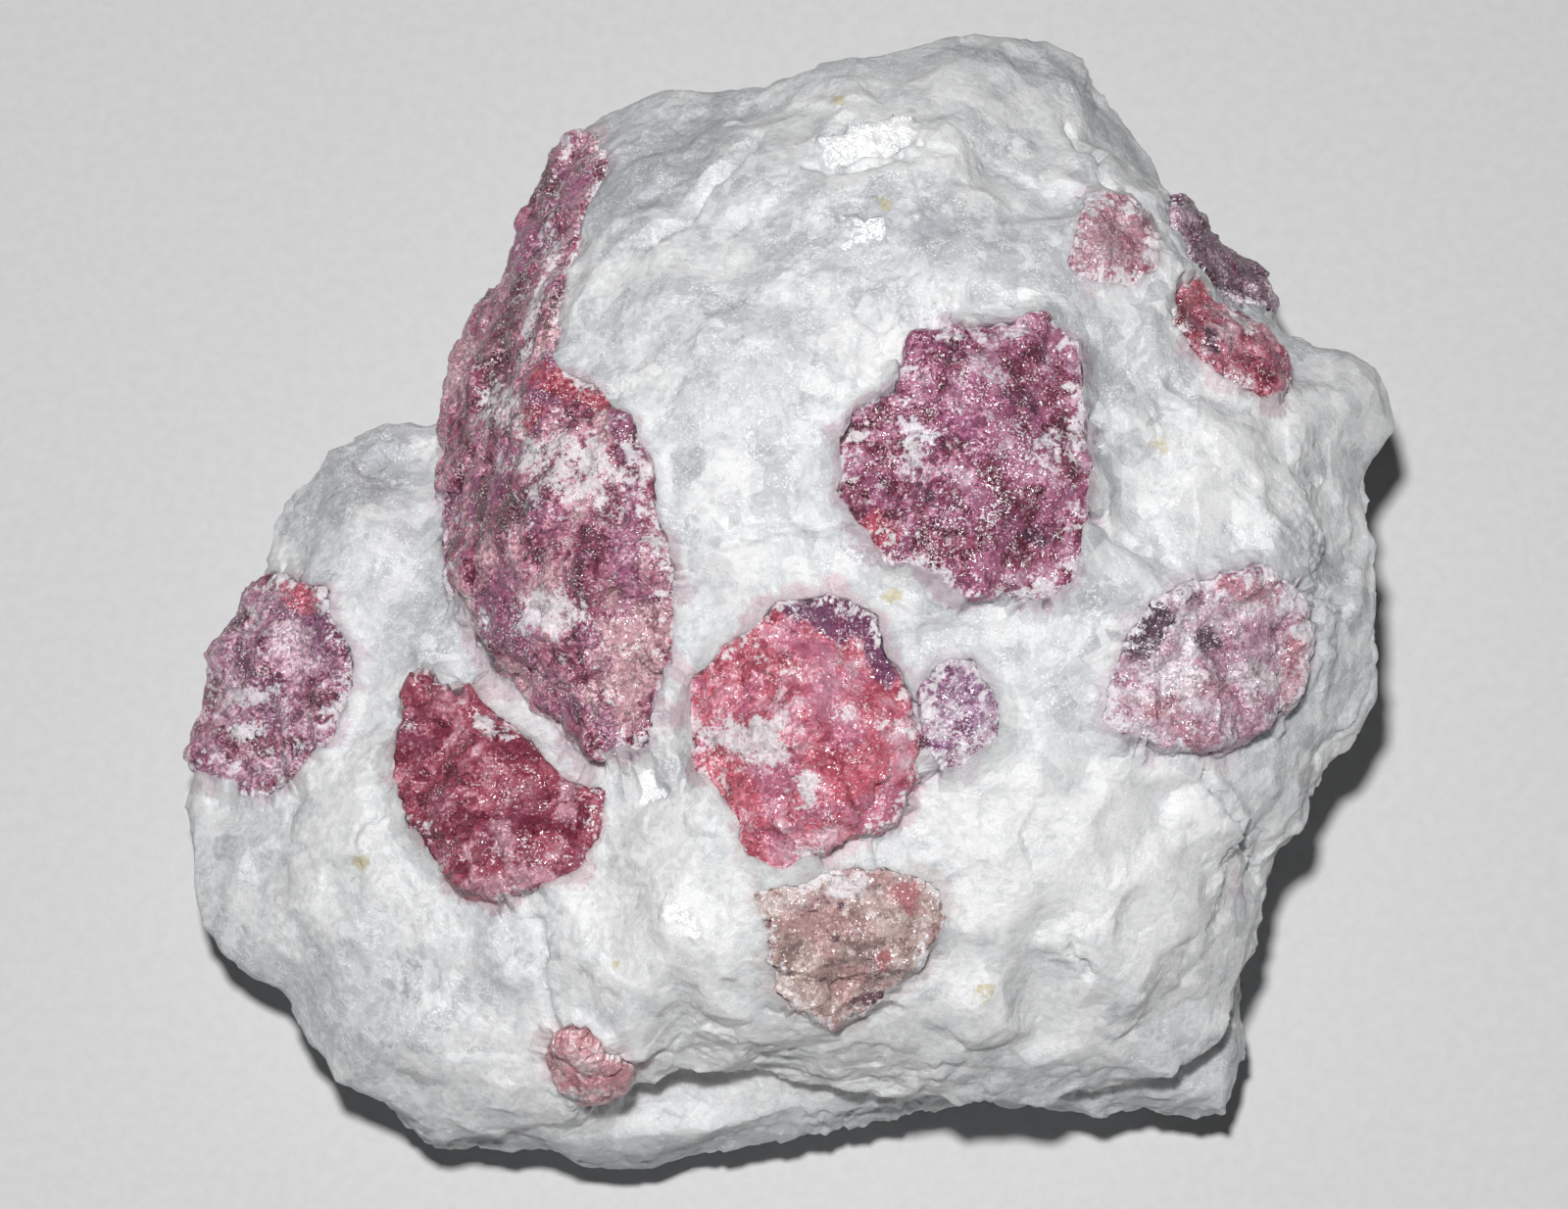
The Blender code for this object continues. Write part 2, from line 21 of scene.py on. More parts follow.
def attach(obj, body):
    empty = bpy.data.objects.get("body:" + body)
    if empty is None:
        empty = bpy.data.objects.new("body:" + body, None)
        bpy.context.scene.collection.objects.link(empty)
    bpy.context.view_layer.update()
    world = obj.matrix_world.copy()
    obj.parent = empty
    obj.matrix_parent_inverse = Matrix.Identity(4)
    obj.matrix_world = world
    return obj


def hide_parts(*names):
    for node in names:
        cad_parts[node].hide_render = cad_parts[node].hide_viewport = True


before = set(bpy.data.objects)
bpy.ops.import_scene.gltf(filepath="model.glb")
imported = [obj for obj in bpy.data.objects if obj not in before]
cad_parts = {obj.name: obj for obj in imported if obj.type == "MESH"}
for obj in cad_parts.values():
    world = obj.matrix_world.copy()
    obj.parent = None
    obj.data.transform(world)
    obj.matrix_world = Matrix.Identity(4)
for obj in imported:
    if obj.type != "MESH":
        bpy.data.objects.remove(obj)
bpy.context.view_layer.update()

MM = 0.001
BODY = "root"
FOOT_HEIGHT = 0.35            # what lies below this is the flat foot, and stays flat
HALF = Vector((0.5, 0.5, 0.5))
HEIGHT_HASH, TILT_HASH, GRAIN_HASH = 53.0, 71.0, 37.0   # turn a patch's centre into its draws
WALL = 0.3                    # what faces up less than this is a wall
CRACK_SLOPE = 0.2             # cracks open only in what faces up more than this
FACE_REACH = 3.0              # how far from its plane a clean face takes the surface in
STAIN_REACH = 1.5             # where a stain has faded out, in half axes
LEAST_REACH = 0.01            # keeps a wandering reach above nought

log = logging.getLogger("tourmaline")

Colour = tuple[float, float, float]
Socket = bpy.types.NodeSocket
Sockets = dict[str, Socket]
Value = Socket | float | Colour
Oval = tuple[float, float, float, float, float, float]


class Tint(Enum):
    """What a patch is stained or dressed with, or its painted light and shade. The value names its
    attribute.
    """

    GLASS = "glass"           # grey, see-through feldspar, and painted shade on the back-left slope and rims
    MILK = "milk"             # whitest feldspar, and painted light on the front slopes
    OCHRE = "ochre"           # rusty specks
    BLUSH = "blush"           # pink that has bled into the white
    DUST = "dust"             # white feldspar left on a crystal
    DEEP = "deep"             # dark zone of a crystal
    PALE = "pale"             # light zone of a crystal
    ROSE = "rose"             # clear red zone of a crystal
    RIM = "rim"               # edge of a crystal, where white has grown over it
    POLISH = "polish"         # smooth cleavage face; on a crystal also a painted glint
    CREVICE = "crevice"       # painted shade in the hollows, and painted shadow low on the block
    LAY = "lay"               # angle of the fibres, in half turns
    HALO = "halo"             # colour of the nearest crystal


Stains = dict[Tint, tuple[Oval, ...]]


# ---------------------------------------------------------------------------------------------
# Shape: how a surface breaks
# ---------------------------------------------------------------------------------------------


@dataclass(frozen=True)
class Facets:
    """One scale of broken grain: flat patches, each standing and tilted its own way.

    Attributes:
        cell: Width of a patch.
        step: How far whole patches stand above one another.
        tilt: How far the far edge of a patch rises.
        seed: Where in the pattern the block is cut from.
        bevel: Width of the ramp between two patches, as a share of a patch.
    """

    cell: float
    step: float
    tilt: float
    seed: float
    bevel: float = 0.2

    def rise(self, place: Vector) -> float:
        """Height that this scale adds to the surface.

        Args:
            place: Point of the surface.

        Returns:
            The height along the surface's normal.
        """
        scaled = place / self.cell + Vector.Fill(3, self.seed)
        distances, centres = noise.voronoi(scaled)
        first, second = (self._patch(centre, scaled) for centre in centres[:2])
        share = 0.5 + 0.5 * min(1.0, (distances[1] - distances[0]) / self.bevel)
        return second + (first - second) * share

    def _patch(self, centre: Vector, scaled: Vector) -> float:
        """Height of one patch's plane over a point of the scaled pattern.

        Args:
            centre: The patch's centre.
            scaled: The point.

        Returns:
            The height.
        """
        draw = noise.cell_vector(centre * HEIGHT_HASH) - HALF
        slope = noise.cell_vector(centre * TILT_HASH + Vector.Fill(3, 9.0)) - HALF
        return 2.0 * (draw.x * self.step + slope.dot(scaled - centre) * self.tilt)


@dataclass(frozen=True)
class Lay:
    """The way that each large grain has split.

    Attributes:
        grain: Width of a large grain.
        seed: Where in the pattern the block is cut from.
        beds: Places where the grains lie nearly the same way, and that way in degrees.
        wander: How far the grains of a bed differ, in degrees.
    """

    grain: float
    seed: float
    beds: tuple[tuple["Spot", float], ...]
    wander: float = 36.0

    def read(self, place: Vector) -> tuple[float, Vector]:
        """The grain at a point.

        Args:
            place: Point of the surface.

        Returns:
            The angle of its fibres from +X, and its own three random numbers.
        """
        shift = Vector.Fill(3, self.seed)
        centre = noise.voronoi(place / self.grain + shift)[1][0]
        draw = noise.cell_vector(centre * GRAIN_HASH)
        middle = (centre - shift) * self.grain
        for spot, turn in self.beds:
            if spot.inside(middle) > 0.0:
                return math.radians(turn + self.wander * (draw.x - 0.5)), draw
        return draw.x * math.pi, draw


@dataclass(frozen=True)
class SplitGrain:
    """Grains that have split along their fibres into a stair of narrow treads.

    Attributes:
        tread: Mean width of a tread.
        height: Height of a riser in the most split grains.
    """

    tread: float
    height: float

    def rise(self, place: Vector, turn: float, draw: Vector) -> float:
        """Height that the stair adds to the surface.

        Args:
            place: Point of the surface.
            turn: Angle of the fibres there.
            draw: The grain's random numbers.

        Returns:
            The height along the surface's normal.
        """
        across = Vector((-math.sin(turn), math.cos(turn), 0.5 * (draw.z - 0.5)))
        tread = self.tread * (0.5 + draw.y)
        split = max(0.0, 1.4 * draw.z - 0.4)    # some grains stay whole
        along = place.dot(across) / tread + 0.8 * noise.noise(place * 0.35)
        return self.height * split * (along % 1.0 - 0.5)


@dataclass(frozen=True)
class Streaks:
    """Ridges that run along a crystal's length.

    Attributes:
        along: The crystal's long direction.
        spacing: Width of a ridge.
        height: Height of a ridge.
        straight: How straight the ridges run, up to one.
    """

    along: tuple[float, float, float]
    spacing: float
    height: float
    straight: float = 0.93

    def rise(self, place: Vector) -> float:
        """Height that the ridges add to the surface.

        Args:
            place: Point of the surface.

        Returns:
            The height along the surface's normal.
        """
        axis = Vector(self.along).normalized()
        across = place - axis * place.dot(axis) * self.straight
        return self.height * noise.noise(across / self.spacing)


@dataclass(frozen=True)
class Spot:
    """An oval on the surface, seen from above.

    Attributes:
        x: Place of its middle.
        y: Place of its middle.
        length: Half of its long axis.
        width: Half of its short axis.
        turn: Angle of its long axis from +X, in degrees.
    """

    x: float
    y: float
    length: float
    width: float
    turn: float = 0.0

    def inside(self, place: Vector) -> float:
        """How far inside the oval a point lies.

        Args:
            place: Point of the surface.

        Returns:
            One in the middle, nought on the edge and negative outside.
        """
        along, across = self.local(place)
        return 1.0 - math.hypot(along / self.length, across / self.width)

    def local(self, place: Vector) -> tuple[float, float]:
        """The point's distances from the middle, along and across the long axis.

        Args:
            place: Point of the surface.

        Returns:
            The two distances.
        """
        turn = math.radians(self.turn)
        dx, dy = place.x - self.x, place.y - self.y
        cosine, sine = math.cos(turn), math.sin(turn)
        return dx * cosine + dy * sine, dy * cosine - dx * sine


@dataclass(frozen=True)
class CleavageFace:
    """A flat face where one grain has split clean through.

    Attributes:
        spot: Where it lies. Its half axes are the half sides of the face.
        height: Height of its middle.
        slope: How much it rises for each millimetre of X and of Y.
        ragged: How far its edge wanders.
        bevel: Width of the ramp at its edge.
    """

    spot: Spot
    height: float
    slope: tuple[float, float]
    ragged: float = 0.8
    bevel: float = 0.2

    def share(self, place: Vector) -> float:
        """One on the face and nought off it, with a hair of a ramp between.

        Args:
            place: Point of the surface.

        Returns:
            The share.
        """
        along, across = self.spot.local(place)
        wander = self.ragged * noise.noise(place * 1.3)
        gap = min(self.spot.length - abs(along), self.spot.width - abs(across)) + wander
        return min(1.0, max(0.0, gap / self.bevel))

    def level(self, place: Vector) -> float:
        """Height of the face's plane over a point."""
        dx, dy = place.x - self.spot.x, place.y - self.spot.y
        return self.height + self.slope[0] * dx + self.slope[1] * dy


def levelling(faces: tuple[CleavageFace, ...], place: Vector, height: float, upward: float
              ) -> float:
    """How far a point has to move up to lie on the clean face that it belongs to.

    Args:
        faces: The piece's clean faces.
        place: Where the point was before the break.
        height: Its height after the break.
        upward: How far it faces up.

    Returns:
        The move, which is nought off the faces.
    """
    if upward < WALL:
        return 0.0
    for face in faces:
        share, level = face.share(place), face.level(place)
        if share > 0.0 and abs(level - place.z) < FACE_REACH:
            return share * (level - height)
    return 0.0


@dataclass(frozen=True)
class Crack:
    """A narrow open crack along a line on the surface.

    Attributes:
        line: Points of the crack, seen from above.
        depth: How deep it is.
        width: Half of its width.
    """

    line: tuple[tuple[float, float], ...]
    depth: float
    width: float

    def rise(self, place: Vector) -> float:
        """How far the crack takes the surface down, as a negative height.

        Args:
            place: Point of the surface.

        Returns:
            The height.
        """
        spot = Vector((place.x + 0.5 * noise.noise(place * 0.7),
                       place.y + 0.5 * noise.noise(place * 0.7 + Vector((9, 4, 2)))))
        nearest = min(
            self._distance(spot, Vector(start), Vector(end))
            for start, end in zip(self.line, self.line[1:])
        )
        return -self.depth * max(0.0, 1.0 - nearest / self.width)

    @staticmethod
    def _distance(spot: Vector, start: Vector, end: Vector) -> float:
        """Distance of a point from one stretch of the line.

        Args:
            spot: The point.
            start: The stretch's start.
            end: Its end.

        Returns:
            The distance.
        """
        run = end - start
        share = min(1.0, max(0.0, (spot - start).dot(run) / run.length_squared))
        return (spot - start - run * share).length


# ---------------------------------------------------------------------------------------------
# Mesh tools
# ---------------------------------------------------------------------------------------------


def make_active(piece: bpy.types.Object) -> None:
    """Selects one object alone and makes it the one that operators work on.

    Args:
        piece: The object.
    """
    bpy.ops.object.select_all(action="DESELECT")
    piece.select_set(True)
    bpy.context.view_layer.objects.active = piece


def working_copy(node: str, name: str) -> bpy.types.Object:
    """A new piece with the shape of a CAD node, its loose triangles joined up.

    Args:
        node: Name of the CAD node.
        name: Name of the new piece.

    Returns:
        The new piece.
    """
    piece = bpy.data.objects.new(name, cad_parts[node].data.copy())
    bpy.context.scene.collection.objects.link(piece)
    piece.data.materials.clear()
    make_active(piece)
    bpy.ops.object.mode_set(mode="EDIT")
    bpy.ops.mesh.select_all(action="SELECT")
    bpy.ops.mesh.remove_doubles(threshold=0.001 * MM)
    bpy.ops.object.mode_set(mode="OBJECT")
    return piece


def remesh(piece: bpy.types.Object, voxel: float) -> None:
    """Covers a piece evenly with small faces.

    Args:
        piece: The piece.
        voxel: Spacing of the points.
    """
    make_active(piece)
    modifier = piece.modifiers.new("Grain", "REMESH")
    modifier.mode = "VOXEL"
    modifier.voxel_size = voxel * MM
    bpy.ops.object.modifier_apply(modifier=modifier.name)


def thin(piece: bpy.types.Object, triangles: int) -> None:
    """Merges faces where the surface is flat, down to a count of triangles.

    Args:
        piece: The piece.
        triangles: Most triangles that it may have.
    """
    make_active(piece)
    have = 2 * len(piece.data.polygons)
    if have > triangles:
        modifier = piece.modifiers.new("Thin", "DECIMATE")
        modifier.ratio = triangles / have
        modifier.use_collapse_triangulate = True
        bpy.ops.object.modifier_apply(modifier=modifier.name)


def shade(piece: bpy.types.Object, crease: float) -> None:
    """Shades a piece smooth, but for edges sharper than a crease in degrees."""
    make_active(piece)
    bpy.ops.object.shade_smooth_by_angle(angle=math.radians(crease))


def read_points(piece: bpy.types.Object) -> tuple[np.ndarray, np.ndarray]:
    """The piece's points in millimetres and their normals.

    Args:
        piece: The piece.

    Returns:
        The points and the normals, one row each.
    """
    mesh = piece.data
    points = np.empty(len(mesh.vertices) * 3)
    mesh.vertices.foreach_get("co", points)
    normals = np.empty(len(mesh.vertices) * 3, dtype=np.float32)
    mesh.vertex_normals.foreach_get("vector", normals)
    return points.reshape(-1, 3) / MM, normals.reshape(-1, 3).astype(float)


def write_points(piece: bpy.types.Object, points: np.ndarray) -> None:
    """Puts the piece's points at these places, given in millimetres.

    Args:
        piece: The piece.
        points: A place for each of its points.
    """
    points = points.copy()
    points[:, 2] = np.maximum(points[:, 2], 0.0)
    piece.data.vertices.foreach_set("co", (points * MM).ravel())
    piece.data.update()


def write_tint(piece: bpy.types.Object, tint: Tint, values: np.ndarray) -> None:
    """Stores one value per point under the tint's name."""
    attribute = piece.data.attributes.new(tint.value, "FLOAT", "POINT")
    attribute.data.foreach_set("value", np.clip(values, 0.0, 1.0).astype(np.float32))


def write_polish(piece: bpy.types.Object, faces: tuple[CleavageFace, ...]) -> None:
    """Stores which points lie on a clean face.

    Args:
        piece: The piece.
        faces: Its clean faces.
    """
    points, normals = read_points(piece)
    shares = [max((face.share(Vector(point)) for face in faces), default=0.0) for point in points]
    write_tint(piece, Tint.POLISH, np.array(shares) * (normals[:, 2] > 0.5))


def write_colours(piece: bpy.types.Object, tint: Tint, colours: np.ndarray) -> None:
    """Stores one colour per point under the tint's name.

    Args:
        piece: The piece.
        tint: The tint.
        colours: A colour for each point.
    """
    attribute = piece.data.attributes.new(tint.value, "FLOAT_COLOR", "POINT")
    opaque = np.column_stack((colours, np.ones(len(colours)))).astype(np.float32)
    attribute.data.foreach_set("color", opaque.ravel())


def hollows(piece: bpy.types.Object, rounds: int, depth: float) -> np.ndarray:
    """How hollow the surface is at each point.

    Args:
        piece: The piece.
        rounds: How many times the comparison surface is smoothed.
        depth: Depth below that surface that counts as one.

    Returns:
        One value per point, negative on crests.
    """
    points, normals = read_points(piece)
    edges = np.empty(len(piece.data.edges) * 2, dtype=int)
    piece.data.edges.foreach_get("vertices", edges)
    edges = edges.reshape(-1, 2)
    count = np.bincount(edges.ravel(), minlength=len(points))[:, None]
    smooth = points
    for _ in range(rounds):
        total = np.zeros_like(points)
        for axis in range(3):
            total[:, axis] += np.bincount(edges[:, 0], smooth[edges[:, 1], axis], len(points))
            total[:, axis] += np.bincount(edges[:, 1], smooth[edges[:, 0], axis], len(points))
        smooth = total / np.maximum(count, 1)
    return np.einsum("ij,ij->i", smooth - points, normals) / depth


def stain_values(points: np.ndarray, ovals: tuple[Oval, ...]) -> np.ndarray:
    """Strength of some stains at each point, which fades past the edge of each.

    Args:
        points: The points.
        ovals: The stains. Each has a place, half axes, a turn in degrees and a strength.

    Returns:
        The strengths.
    """
    values = np.zeros(len(points))
    for x, y, length, width, degrees, strength in ovals:
        turn = math.radians(degrees)
        dx, dy = points[:, 0] - x, points[:, 1] - y
        along = (dx * math.cos(turn) + dy * math.sin(turn)) / length
        across = (dy * math.cos(turn) - dx * math.sin(turn)) / width
        fade = np.clip(STAIN_REACH - np.hypot(along, across), 0.0, 1.0)
        values = np.maximum(values, fade * strength)
    return values


def surface_tree(piece: bpy.types.Object) -> BVHTree:
    """A piece's surface in millimetres, ready to be searched."""
    corners, _ = read_points(piece)
    return BVHTree.FromPolygons(corners.tolist(), [face.vertices for face in piece.data.polygons])


def nearest_surface(points: np.ndarray, pieces: list[bpy.types.Object], reach: float
                    ) -> tuple[np.ndarray, np.ndarray, np.ndarray]:
    """Finds the nearest place on some pieces for each point.

    Args:
        points: The points.
        pieces: The pieces.
        reach: Distance past which nothing is looked for.

    Returns:
        The distances, at most the reach and negative inside a piece, the places, and the number
        of the piece that each is on.
    """
    distances = np.full(len(points), reach)
    places = points.copy()
    owners = np.full(len(points), -1)
    for number, piece in enumerate(pieces):
        corners, _ = read_points(piece)
        tree = surface_tree(piece)
        close = (points > corners.min(axis=0) - reach) & (points < corners.max(axis=0) + reach)
        for i in np.flatnonzero(close.all(axis=1)):
            point = Vector(points[i])
            place, normal, _, distance = tree.find_nearest(point, abs(distances[i]))
            if place is not None:
                inside = (place - point).dot(normal) > 0.0
                distances[i] = -distance if inside else distance
                places[i], owners[i] = place, number
    return distances, places, owners


def wavering_reach(points: np.ndarray, low: float, high: float, width: float) -> np.ndarray:
    """A reach that wanders over the surface between two values.

    Args:
        points: The points.
        low: Least reach.
        high: Greatest reach.
        width: How far it is from a low place to a high one.

    Returns:
        The reach at each point.
    """
    waves = np.array([noise.noise(Vector(point) / width) for point in points])
    return low + (high - low) * np.clip(0.5 + 1.3 * waves, 0.0, 1.0)


# ---------------------------------------------------------------------------------------------
# Finishes
# ---------------------------------------------------------------------------------------------


class Graph:
    """A node tree written as a formula: each method adds a node and returns its output."""

    def __init__(self, tree: bpy.types.NodeTree) -> None:
        """Starts with an empty tree."""
        self.tree = tree
        tree.nodes.clear()

    def node(self, kind: str, feeds: dict[str | int, Value] | None = None, **settings: object
             ) -> bpy.types.Node:
        """Adds a node.

        Args:
            kind: Its type.
            feeds: What goes into its inputs, by name or number.
            **settings: Its properties.

        Returns:
            The node.
        """
        made = self.tree.nodes.new(kind)
        for name, value in settings.items():
            setattr(made, name, value)
        for name, value in (feeds or {}).items():
            self.feed(made.inputs[name], value)
        return made

    def feed(self, socket: Socket, value: Value) -> None:
        """Links a socket to an output, or sets it to a plain value.

        Args:
            socket: The socket.
            value: The output or the value.
        """
        if isinstance(value, Socket):
            self.tree.links.new(value, socket)
        elif isinstance(value, tuple) and len(value) == 3 and socket.type == "RGBA":
            socket.default_value = (*value, 1.0)
        else:
            socket.default_value = value

    def place(self) -> Socket:
        """The point's place in the block's frame, in millimetres."""
        return self.vector("SCALE", self.node("ShaderNodeTexCoord").outputs["Object"], 1.0 / MM)

    def normal(self) -> Socket:
        """The surface's own normal."""
        return self.node("ShaderNodeNewGeometry").outputs["Normal"]

    def stored(self, tint: Tint, output: str = "Fac") -> Socket:
        """The stored value or colour of a tint."""
        return self.node("ShaderNodeAttribute", attribute_name=tint.value).outputs[output]

    def cloud(self, place: Socket, width: Value, detail: float = 3.0, seed: float = 0.0,
              harsh: float = 0.6) -> Socket:
        """Noise between nought and one.

        Args:
            place: Place in millimetres.
            width: Width of its patches.
            detail: How many finer scales it holds.
            seed: Sets it apart from other noise.
            harsh: Strength of the finer scales.

        Returns:
            The noise value.
        """
        return self.node("ShaderNodeTexNoise", {
            "Vector": self.vector("ADD", place, (9.7 * seed, 0.0, 0.0)),
            "Scale": self.scale(width), "Detail": detail, "Roughness": harsh,
        }).outputs["Fac"]

    def scale(self, width: Value) -> Value:
        """The scale of a pattern whose patches have a width."""
        return self.math("DIVIDE", 1.0, width) if isinstance(width, Socket) else 1.0 / width

    def cells(self, place: Socket, width: Value, feature: str = "F1") -> bpy.types.Node:
        """Cells of a width, with their distance and random colour."""
        feeds = {"Vector": place, "Scale": self.scale(width)}
        return self.node("ShaderNodeTexVoronoi", feeds, feature=feature)

    def draw(self, cells: bpy.types.Node) -> Socket:
        """The random number that each cell has."""
        return self.node("ShaderNodeSeparateColor", {0: cells.outputs["Color"]}).outputs[0]

    def math(self, operation: str, first: Value, second: Value) -> Socket:
        """One arithmetic step."""
        return self.node("ShaderNodeMath", {0: first, 1: second}, operation=operation).outputs[0]

    def total(self, first: Value, *others: Value) -> Value:
        """The sum of some values.

        Args:
            first: The first of them.
            *others: What is added to it.

        Returns:
            The sum.
        """
        for other in others:
            first = self.math("ADD", first, other)
        return first

    def times(self, first: Value, second: Value) -> Socket:
        """One value multiplied by another."""
        return self.math("MULTIPLY", first, second)

    def vector(self, operation: str, first: Value, second: Value | None = None) -> Socket:
        """One step of vector arithmetic, scaled by a number or combined with a vector.

        Args:
            operation: What is done.
            first: A vector.
            second: A number to scale it by, or another vector.

        Returns:
            The vector.
        """
        feeds = {0: first}
        if second is not None:
            feeds["Scale" if operation == "SCALE" else 1] = second
        return self.node("ShaderNodeVectorMath", feeds, operation=operation).outputs[0]

    def ramp(self, value: Socket, low: float, high: float, first: float = 0.0,
             last: float = 1.0) -> Socket:
        """A smooth step.

        Args:
            value: What is stepped.
            low: Where the step starts.
            high: Where the step ends.
            first: Result at the start.
            last: Result at the end.

        Returns:
            The stepped value.
        """
        return self.node("ShaderNodeMapRange", {
            "Value": value, "From Min": low, "From Max": high, "To Min": first, "To Max": last,
        }, interpolation_type="SMOOTHSTEP").outputs["Result"]

    def scale_of(self, value: Socket, *stops: tuple[float, Colour]) -> Socket:
        """A colour read off a scale of colours, each with its place on the scale.

        Args:
            value: Where the scale is read.
            *stops: Each has its place and its colour.

        Returns:
            The colour.
        """
        made = self.node("ShaderNodeValToRGB", {0: value})
        elements = made.color_ramp.elements
        for i, (position, colour) in enumerate(stops):
            stop = elements[i] if i < 2 else elements.new(position)
            stop.position = position
            stop.color = (*colour, 1.0)
        return made.outputs["Color"]

    def mix(self, share: Value, first: Value, second: Value) -> Socket:
        """Blends two colours by a share."""
        feeds = {"Factor": share, 6: first, 7: second}
        return self.node("ShaderNodeMix", feeds, data_type="RGBA").outputs[2]

    def effect(self, tree: bpy.types.NodeTree, **inputs: Value) -> bpy.types.Node:
        """Places a shared effect with its own values."""
        feeds = {name.title(): value for name, value in inputs.items()}
        return self.node("ShaderNodeGroup", feeds, node_tree=tree)

    def mask(self, tree: bpy.types.NodeTree, **inputs: Value) -> Socket:
        """The mask of a shared effect."""
        return self.effect(tree, **inputs).outputs["Mask"]


Writer = Callable[[Graph, Sockets], Sockets]


def shared_effect(name: str, inputs: str, outputs: str
                  ) -> Callable[[Writer], Callable[[], bpy.types.NodeTree]]:
    """Turns a function that adds nodes into one that gives their node group, built once.

    Args:
        name: Name of the group.
        inputs: Names of its inputs. Place and Normal are vectors and the rest numbers.
        outputs: Names of its outputs.

    Returns:
        The decorator.
    """

    def wrap(write: Writer) -> Callable[[], bpy.types.NodeTree]:
        """Puts the function's nodes between the group's inputs and outputs.

        Args:
            write: The function.

        Returns:
            What gives the group.
        """

        @functools.cache
        def group() -> bpy.types.NodeTree:
            """Builds the group when it is first asked for.

            Returns:
                The group.
            """
            tree = bpy.data.node_groups.new(name, "ShaderNodeTree")
            for way, titles in (("INPUT", inputs), ("OUTPUT", outputs)):
                for title in titles.split():
                    kind = "Vector" if title in ("Place", "Normal") else "Float"
                    tree.interface.new_socket(title, in_out=way, socket_type="NodeSocket" + kind)
            graph = Graph(tree)
            start, end = graph.node("NodeGroupInput"), graph.node("NodeGroupOutput")
            made = write(graph, {title: start.outputs[title] for title in inputs.split()})
            for title, socket in made.items():
                graph.feed(end.inputs[title], socket)
            return tree

        return group

    return wrap


class Effects:
    """Shared effects, each a node group that several finishes use. Each is given the inputs by
    name, adds its nodes and returns its outputs by name."""

    @staticmethod
    @shared_effect("Glint", "Place Width Tip Normal", "Normal Draw")
    def glint(graph: Graph, given: Sockets) -> Sockets:
        """Tiny flat grains, each of which tips the light its own way and has its own draw.

        Args:
            graph: The group's graph.
            given: Its inputs.

        Returns:
            Its outputs.
        """
        cells = graph.cells(given["Place"], given["Width"])
        centred = graph.vector("SUBTRACT", cells.outputs["Color"], (0.5, 0.5, 0.5))
        tip = graph.vector("SCALE", centred, given["Tip"])
        tipped = graph.vector("ADD", tip, given["Normal"])
        return {"Normal": graph.vector("NORMALIZE", tipped), "Draw": graph.draw(cells)}

    @staticmethod
    @shared_effect("Ragged edge", "Mask Torn", "Mask")
    def ragged(graph: Graph, given: Sockets) -> Sockets:
        """A soft mask with noise added and then cut sharply, so that its edges are torn.

        Args:
            graph: The group's graph.
            given: Its inputs.

        Returns:
            Its outputs.
        """
        swing = graph.times(graph.math("SUBTRACT", given["Torn"], 0.5), 2.4)
        cut = graph.ramp(graph.total(given["Mask"], swing), 0.32, 0.68)
        return {"Mask": graph.times(cut, graph.ramp(given["Mask"], 0.0, 0.2))}

    @staticmethod
    @shared_effect("Powder", "Place Width Amount", "Mask")
    def powder(graph: Graph, given: Sockets) -> Sockets:
        """White powder: scattered specks that close up where there is more of it.

        Args:
            graph: The group's graph.
            given: Its inputs.

        Returns:
            Its outputs.
        """
        patch = graph.cloud(given["Place"], given["Width"], 4.0, 5.0, 0.7)
        speck = graph.cloud(given["Place"], 0.34, 2.0, 6.0, 0.7)
        level = graph.total(graph.times(patch, 0.9), graph.times(speck, 0.6),
                            graph.times(given["Amount"], 0.42))
        return {"Mask": graph.ramp(level, 0.92, 1.08)}

    @staticmethod
    @shared_effect("PaintedSparks", "Place Width Dense", "Mask")
    def painted_sparks(graph: Graph, given: Sockets) -> Sockets:
        """Painted highlights: tiny bright flakes, dense in some places and thin in others.

        Args:
            graph: The group's graph.
            given: Its inputs.

        Returns:
            Its outputs.
        """
        flake = graph.cloud(given["Place"], given["Width"], 1.0, 2.0)
        patch = graph.cloud(given["Place"], 1.9, 2.0, 6.0)
        level = graph.total(flake, graph.times(patch, 0.5), given["Dense"])
        return {"Mask": graph.ramp(level, 1.0, 1.06)}

    @staticmethod
    @shared_effect("Grains", "Place Width", "Draw Vein")
    def grains(graph: Graph, given: Sockets) -> Sockets:
        """Interlocking grains with wavy borders: a draw for each, and the veins between them.

        Args:
            graph: The group's graph.
            given: Its inputs.

        Returns:
            Its outputs.
        """
        warp = graph.node("ShaderNodeTexNoise", {
            "Vector": given["Place"], "Scale": graph.math("DIVIDE", 1.8, given["Width"]),
            "Detail": 2.0,
        })
        swing = graph.vector("SUBTRACT", warp.outputs["Color"], (0.5, 0.5, 0.5))
        reach = graph.vector("SCALE", swing, graph.times(given["Width"], 0.5))
        place = graph.vector("ADD", given["Place"], reach)
        border = graph.cells(place, given["Width"], "DISTANCE_TO_EDGE").outputs["Distance"]
        return {"Draw": graph.draw(graph.cells(place, given["Width"])),
                "Vein": graph.ramp(border, 0.0, 0.07, 1.0, 0.0)}

    @staticmethod
    @shared_effect("Fibres", "Place Lay Width", "Streak")
    def fibres(graph: Graph, given: Sockets) -> Sockets:
        """Streaks along the lay of the grains.

        Args:
            graph: The group's graph.
            given: Its inputs.

        Returns:
            Its outputs.
        """
        feeds = {"Vector": given["Place"], "Angle": graph.times(given["Lay"], -math.pi)}
        turned = graph.node("ShaderNodeVectorRotate", feeds, rotation_type="Z_AXIS")
        stretched = graph.vector("MULTIPLY", turned.outputs[0], (0.16, 1.0, 0.5))
        return {"Streak": graph.cloud(stretched, given["Width"], 4.0, 1.0, 0.6)}


